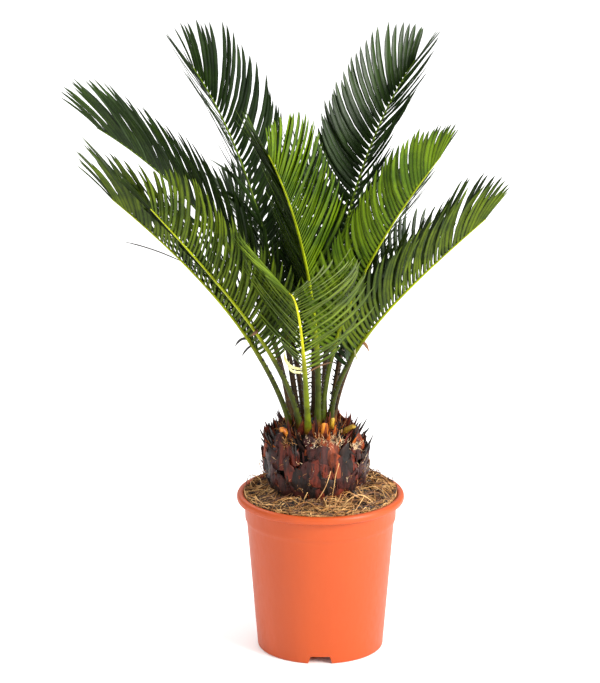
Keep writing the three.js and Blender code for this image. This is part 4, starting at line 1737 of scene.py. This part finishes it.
    def stalk(self) -> Piece:
        """Lay the petiole and rachis, with short spines where the leaflets give out.

        Returns:
            The stalk, dressed.
        """
        draw = seeded(f"{self.name} stalk")
        heap = Heap(f"{self.name}_stalk")
        rings = []
        for index in range(self.stalk_stations + 1):
            share = index / self.stalk_stations
            along, side, face = self.frame_at(share)
            half, centre = self.half_at(share), self.point_at(share)
            if index == 0:
                rings += [self.ring(centre - along * self.sheath * back, side, face, half * girth)
                          for back, girth in self.sheath_rings]
            rings.append(self.ring(centre, side, face, half))
        heap.add(skin(np.array(rings)))
        count = round(self.bare * self.length / self.spine_spacing)
        for index in range(count):
            for hand in (1.0, -1.0):
                share = self.bare * (0.2 + 0.8 * (index + draw.uniform(0.0, 0.8)) / count)
                along, side, face = self.frame_at(share)
                half = self.half_at(share)
                nearness = share / self.bare
                length = (1.8 + 3.4 * nearness ** 2) * draw.uniform(0.7, 1.3)
                root = self.point_at(share) + hand * side * half * 0.85 + face * half * 0.35
                aim = unit(hand * side * 0.9 + face * 0.35 + along * draw.uniform(0.1, 0.7))
                path = np.array([root - aim * 0.6, root + aim * length * 0.4,
                                 root + aim * length * 0.75 + along * 0.2,
                                 root + aim * length + along * 0.6])
                heap.add(tube(path, np.array(self.spine_radii), 5), 1)
        return heap.piece((self.tone.value.stalk_finish(), THORN), Crease.STALK)

    def ring(self, centre: np.ndarray, side: np.ndarray, face: np.ndarray,
             half: float) -> np.ndarray:
        """Lay a ring round the stalk, flattened a little and ridged on its upper face.

        Args:
            centre: The ring's middle.
            side: The direction of the stalk's side.
            face: The direction of its upper face.
            half: Half its thickness.

        Returns:
            The ring's points.
        """
        cosines, sines = circle(self.stalk_sides)
        wave = 1.0 + self.stalk_ridge * sines * (4.0 * sines * sines - 3.0)
        return centre + half * wave * (1.08 * cosines * side + 0.98 * sines * face)

    def build(self) -> None:
        """Build the frond's stalk and leaflets, and dress them."""
        enter(self.stalk(), self.slot)
        enter(self.leaflets(), self.slot, self.name)


FRONDS: tuple[Frond, ...] = (
    Frond("frond_tall_right", (3, 13, 73), 45, (90, 42), -1, 0, 438, 0.26, 88, 50, 12, 50, -20,
          Tone.DEEP, widest=7.0, room_share=1.6, shingle=4.0),
    Frond("frond_tall_left", (-24, 8, 71), 150, (82, 49), -2.1, 0, 432, 0.26, 98, 36, 10, 44, 22,
          Tone.DEEP, (
              Stray(0.545, (-12, -30, 60), (-58, -44, 88), 4.4, 0),
              Stray(0.525, (-12, -30, 44), (-56, -44, 66), 4.2, 0),
              Stray(0.535, (-12, -30, 34), (-46, -44, 52), 4.0, 0)),
          widest=5.6, room_share=1.35),
    Frond("frond_long_left", (-33, 3, 67), 178, (87, 31), 0.1, 0, 429, 0.26, 118, 32, 20, 34, -8,
          Tone.DEEP, (Stray(0.6, (-26, -6, 4), (-37, -8, 36), 5.0, 0),),
          widest=4.4, room_share=0.95, shingle=28.0),
    Frond("frond_low_right", (13, -6, 68), 353, (100, 43), 3.8, 0, 318, 0.31, 88, 38, 11, 50, 0,
          Tone.GREEN, (
              Stray(0.36, (4, -4, 8), (10, -6, -8), 3.6, 3),
              Stray(0.33, (-4, -4, 8), (2, -6, -12), 3.2, 2)),
          spacing=5.6, widest=4.2, room_share=0.95),
    Frond("frond_right", (2, -7, 73), 334, (91, 53), 1.7, 0, 368, 0.26, 78, 38, 9, 46, 4,
          Tone.FRESH, spacing=5.6, room_share=1.3),
    Frond("frond_front", (-4, -17, 71), 250, (100, 42), 0.9, 1, 406, 0.26, 98, 35, 10, 50, -4,
          Tone.FRESH, spacing=5.0, widest=7.0, room_share=1.9, curl=24.0),
    Frond("frond_low_left", (-30, -9, 64), 203, (77, 42), 1.8, 0, 372, 0.3, 112, 33, 14, 38, -4,
          Tone.GREEN, (
              Stray(0.7, (-36, 0, 18), (-72, 0, 24), 1.5, 4),
              Stray(0.365, (-8, -4, 5), (-15, -6, -8), 3.4, 4),
              Stray(0.34, (-6, -4, -1), (-12, -6, -12), 3.2, 4)),
          spacing=6.0, widest=4.6, room_share=1.0),
    Frond("frond_front_left", (-21, -19, 65), 218, (85, 47), 4, 0, 368, 0.3, 94, 38, 20, 38, -20,
          Tone.GREEN, (Stray(0.42, (6, -8, 6), (-6, -10, -2), 5.0, 3),),
          spacing=5.8, widest=4.6, room_share=1.0),
    Frond("frond_small_front", (-13, -25, 63), 265, (66, 18), -2.8, -4, 290, 0.4, 106, 46, 26,
          33, 8, Tone.PALE, (
              Stray(0.40, (-24, -5, 0), (-22, -6, 24), 3.2, 2),
              Stray(0.385, (-20, -5, -3), (-17, -6, 14), 2.8, 2),
              Stray(0.37, (22, -4, 16), (32, -8, 16), 1.5, 3)),
          spacing=6.2, widest=6.2, room_share=1.45, curl=52.0),
    Frond("frond_back_right", (13, 8, 71), 26, (85, 36), 1.1, 0, 244, 0.3, 72, 52, 22, 58, 0,
          Tone.DEEP),
    Frond("frond_back", (-7, 22, 71), 92, (86, 30), 0.3, 0, 325, 0.26, 90, 38, 9, 42, 0,
          Tone.DEEP),
    Frond("frond_back_left", (-18, 18, 69), 120, (84, 24), 0.3, 0, 310, 0.26, 86, 38, 9, 42, 0,
          Tone.DEEP),
    Frond("frond_low_back", (12, 20, 69), 62, (84, 20), 0.3, 0, 310, 0.26, 86, 38, 9, 42, 0,
          Tone.DEEP),
)


# ---------------------------------------------------------------- the studio


@dataclass(frozen=True)
class Lamp:
    """A soft rectangular lamp that looks at the plant."""

    name: str
    place: Triple
    size: float
    watts: float
    tint: Triple = (1.0, 1.0, 1.0)
    aim: Triple = (0.0, 0.0, 0.35)


@dataclass
class Studio:
    """A pale floor and surround, a soft ceiling lamp, three smaller lamps and the camera."""

    camera_place: Triple = (0.0, -3.890, 1.485)
    camera_pitch: float = 16.146
    camera_yaw: float = -0.342
    lens: float = 190.44
    sensor: float = 36.0
    floor_half: float = 14.0
    surround: float = 0.62
    lamps: tuple[Lamp, ...] = (
        Lamp("ceiling_lamp", (0.0, 1.2, 4.6), 8.0, 290.0, aim=(0.0, 1.2, 0.0)),
        Lamp("key_lamp", (2.7, -1.9, 1.7), 1.5, 200.0, (1.0, 0.98, 0.95)),
        Lamp("fill_lamp", (-2.0, -3.0, 1.4), 1.8, 26.0, (0.98, 0.99, 1.0)),
        Lamp("back_lamp", (-0.6, 2.4, 2.6), 1.6, 20.0))

    def floor(self) -> None:
        """Lay the pale floor, which isn't part of the object."""
        body = bmesh.new()
        bmesh.ops.create_grid(body, x_segments=2, y_segments=2, size=self.floor_half)
        piece = link("floor", mesh_of(body, "floor", FLOOR))
        piece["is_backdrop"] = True

    def light(self) -> None:
        """Hang the lamps and whiten the surround."""
        scene = bpy.context.scene
        world = bpy.data.worlds.new("surround")
        world.use_nodes = True
        sky = world.node_tree.nodes["Background"]
        sky.inputs["Color"].default_value = (1.0, 1.0, 1.0, 1.0)
        sky.inputs["Strength"].default_value = self.surround
        scene.world = world
        for lamp in self.lamps:
            data = bpy.data.lights.new(lamp.name, "AREA")
            data.shape, data.size = "SQUARE", lamp.size
            data.energy, data.color = lamp.watts, lamp.tint
            hung = link(lamp.name, data)
            hung.location = lamp.place
            aim = Vector(lamp.aim) - Vector(lamp.place)
            hung.rotation_euler = aim.to_track_quat("-Z", "Y").to_euler()
        scene.view_settings.view_transform = "Standard"

    def camera(self) -> None:
        """Set up the camera at the viewing angle."""
        data = bpy.data.cameras.new("camera")
        data.lens, data.sensor_width = self.lens, self.sensor
        data.clip_end = 60.0
        held = link("camera", data)
        held.location = self.camera_place
        held.rotation_euler = (math.radians(90.0 - self.camera_pitch), 0.0,
                               math.radians(-self.camera_yaw))
        bpy.context.scene.camera = held

    def build(self) -> None:
        """Build the floor, the light and the camera."""
        self.floor()
        self.light()
        self.camera()


def main() -> None:
    """Build the studio and the potted palm, in order."""
    logging.basicConfig(level=logging.INFO, format="%(name)s %(message)s")
    Studio().build()
    Pot().build()
    Soil().build()
    Trunk().build()
    for frond in FRONDS:
        frond.build()
    faces = sum(len(piece.data.polygons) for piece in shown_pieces())
    log.info("%d faces in all", faces)


if __name__ == "__main__":
    main()
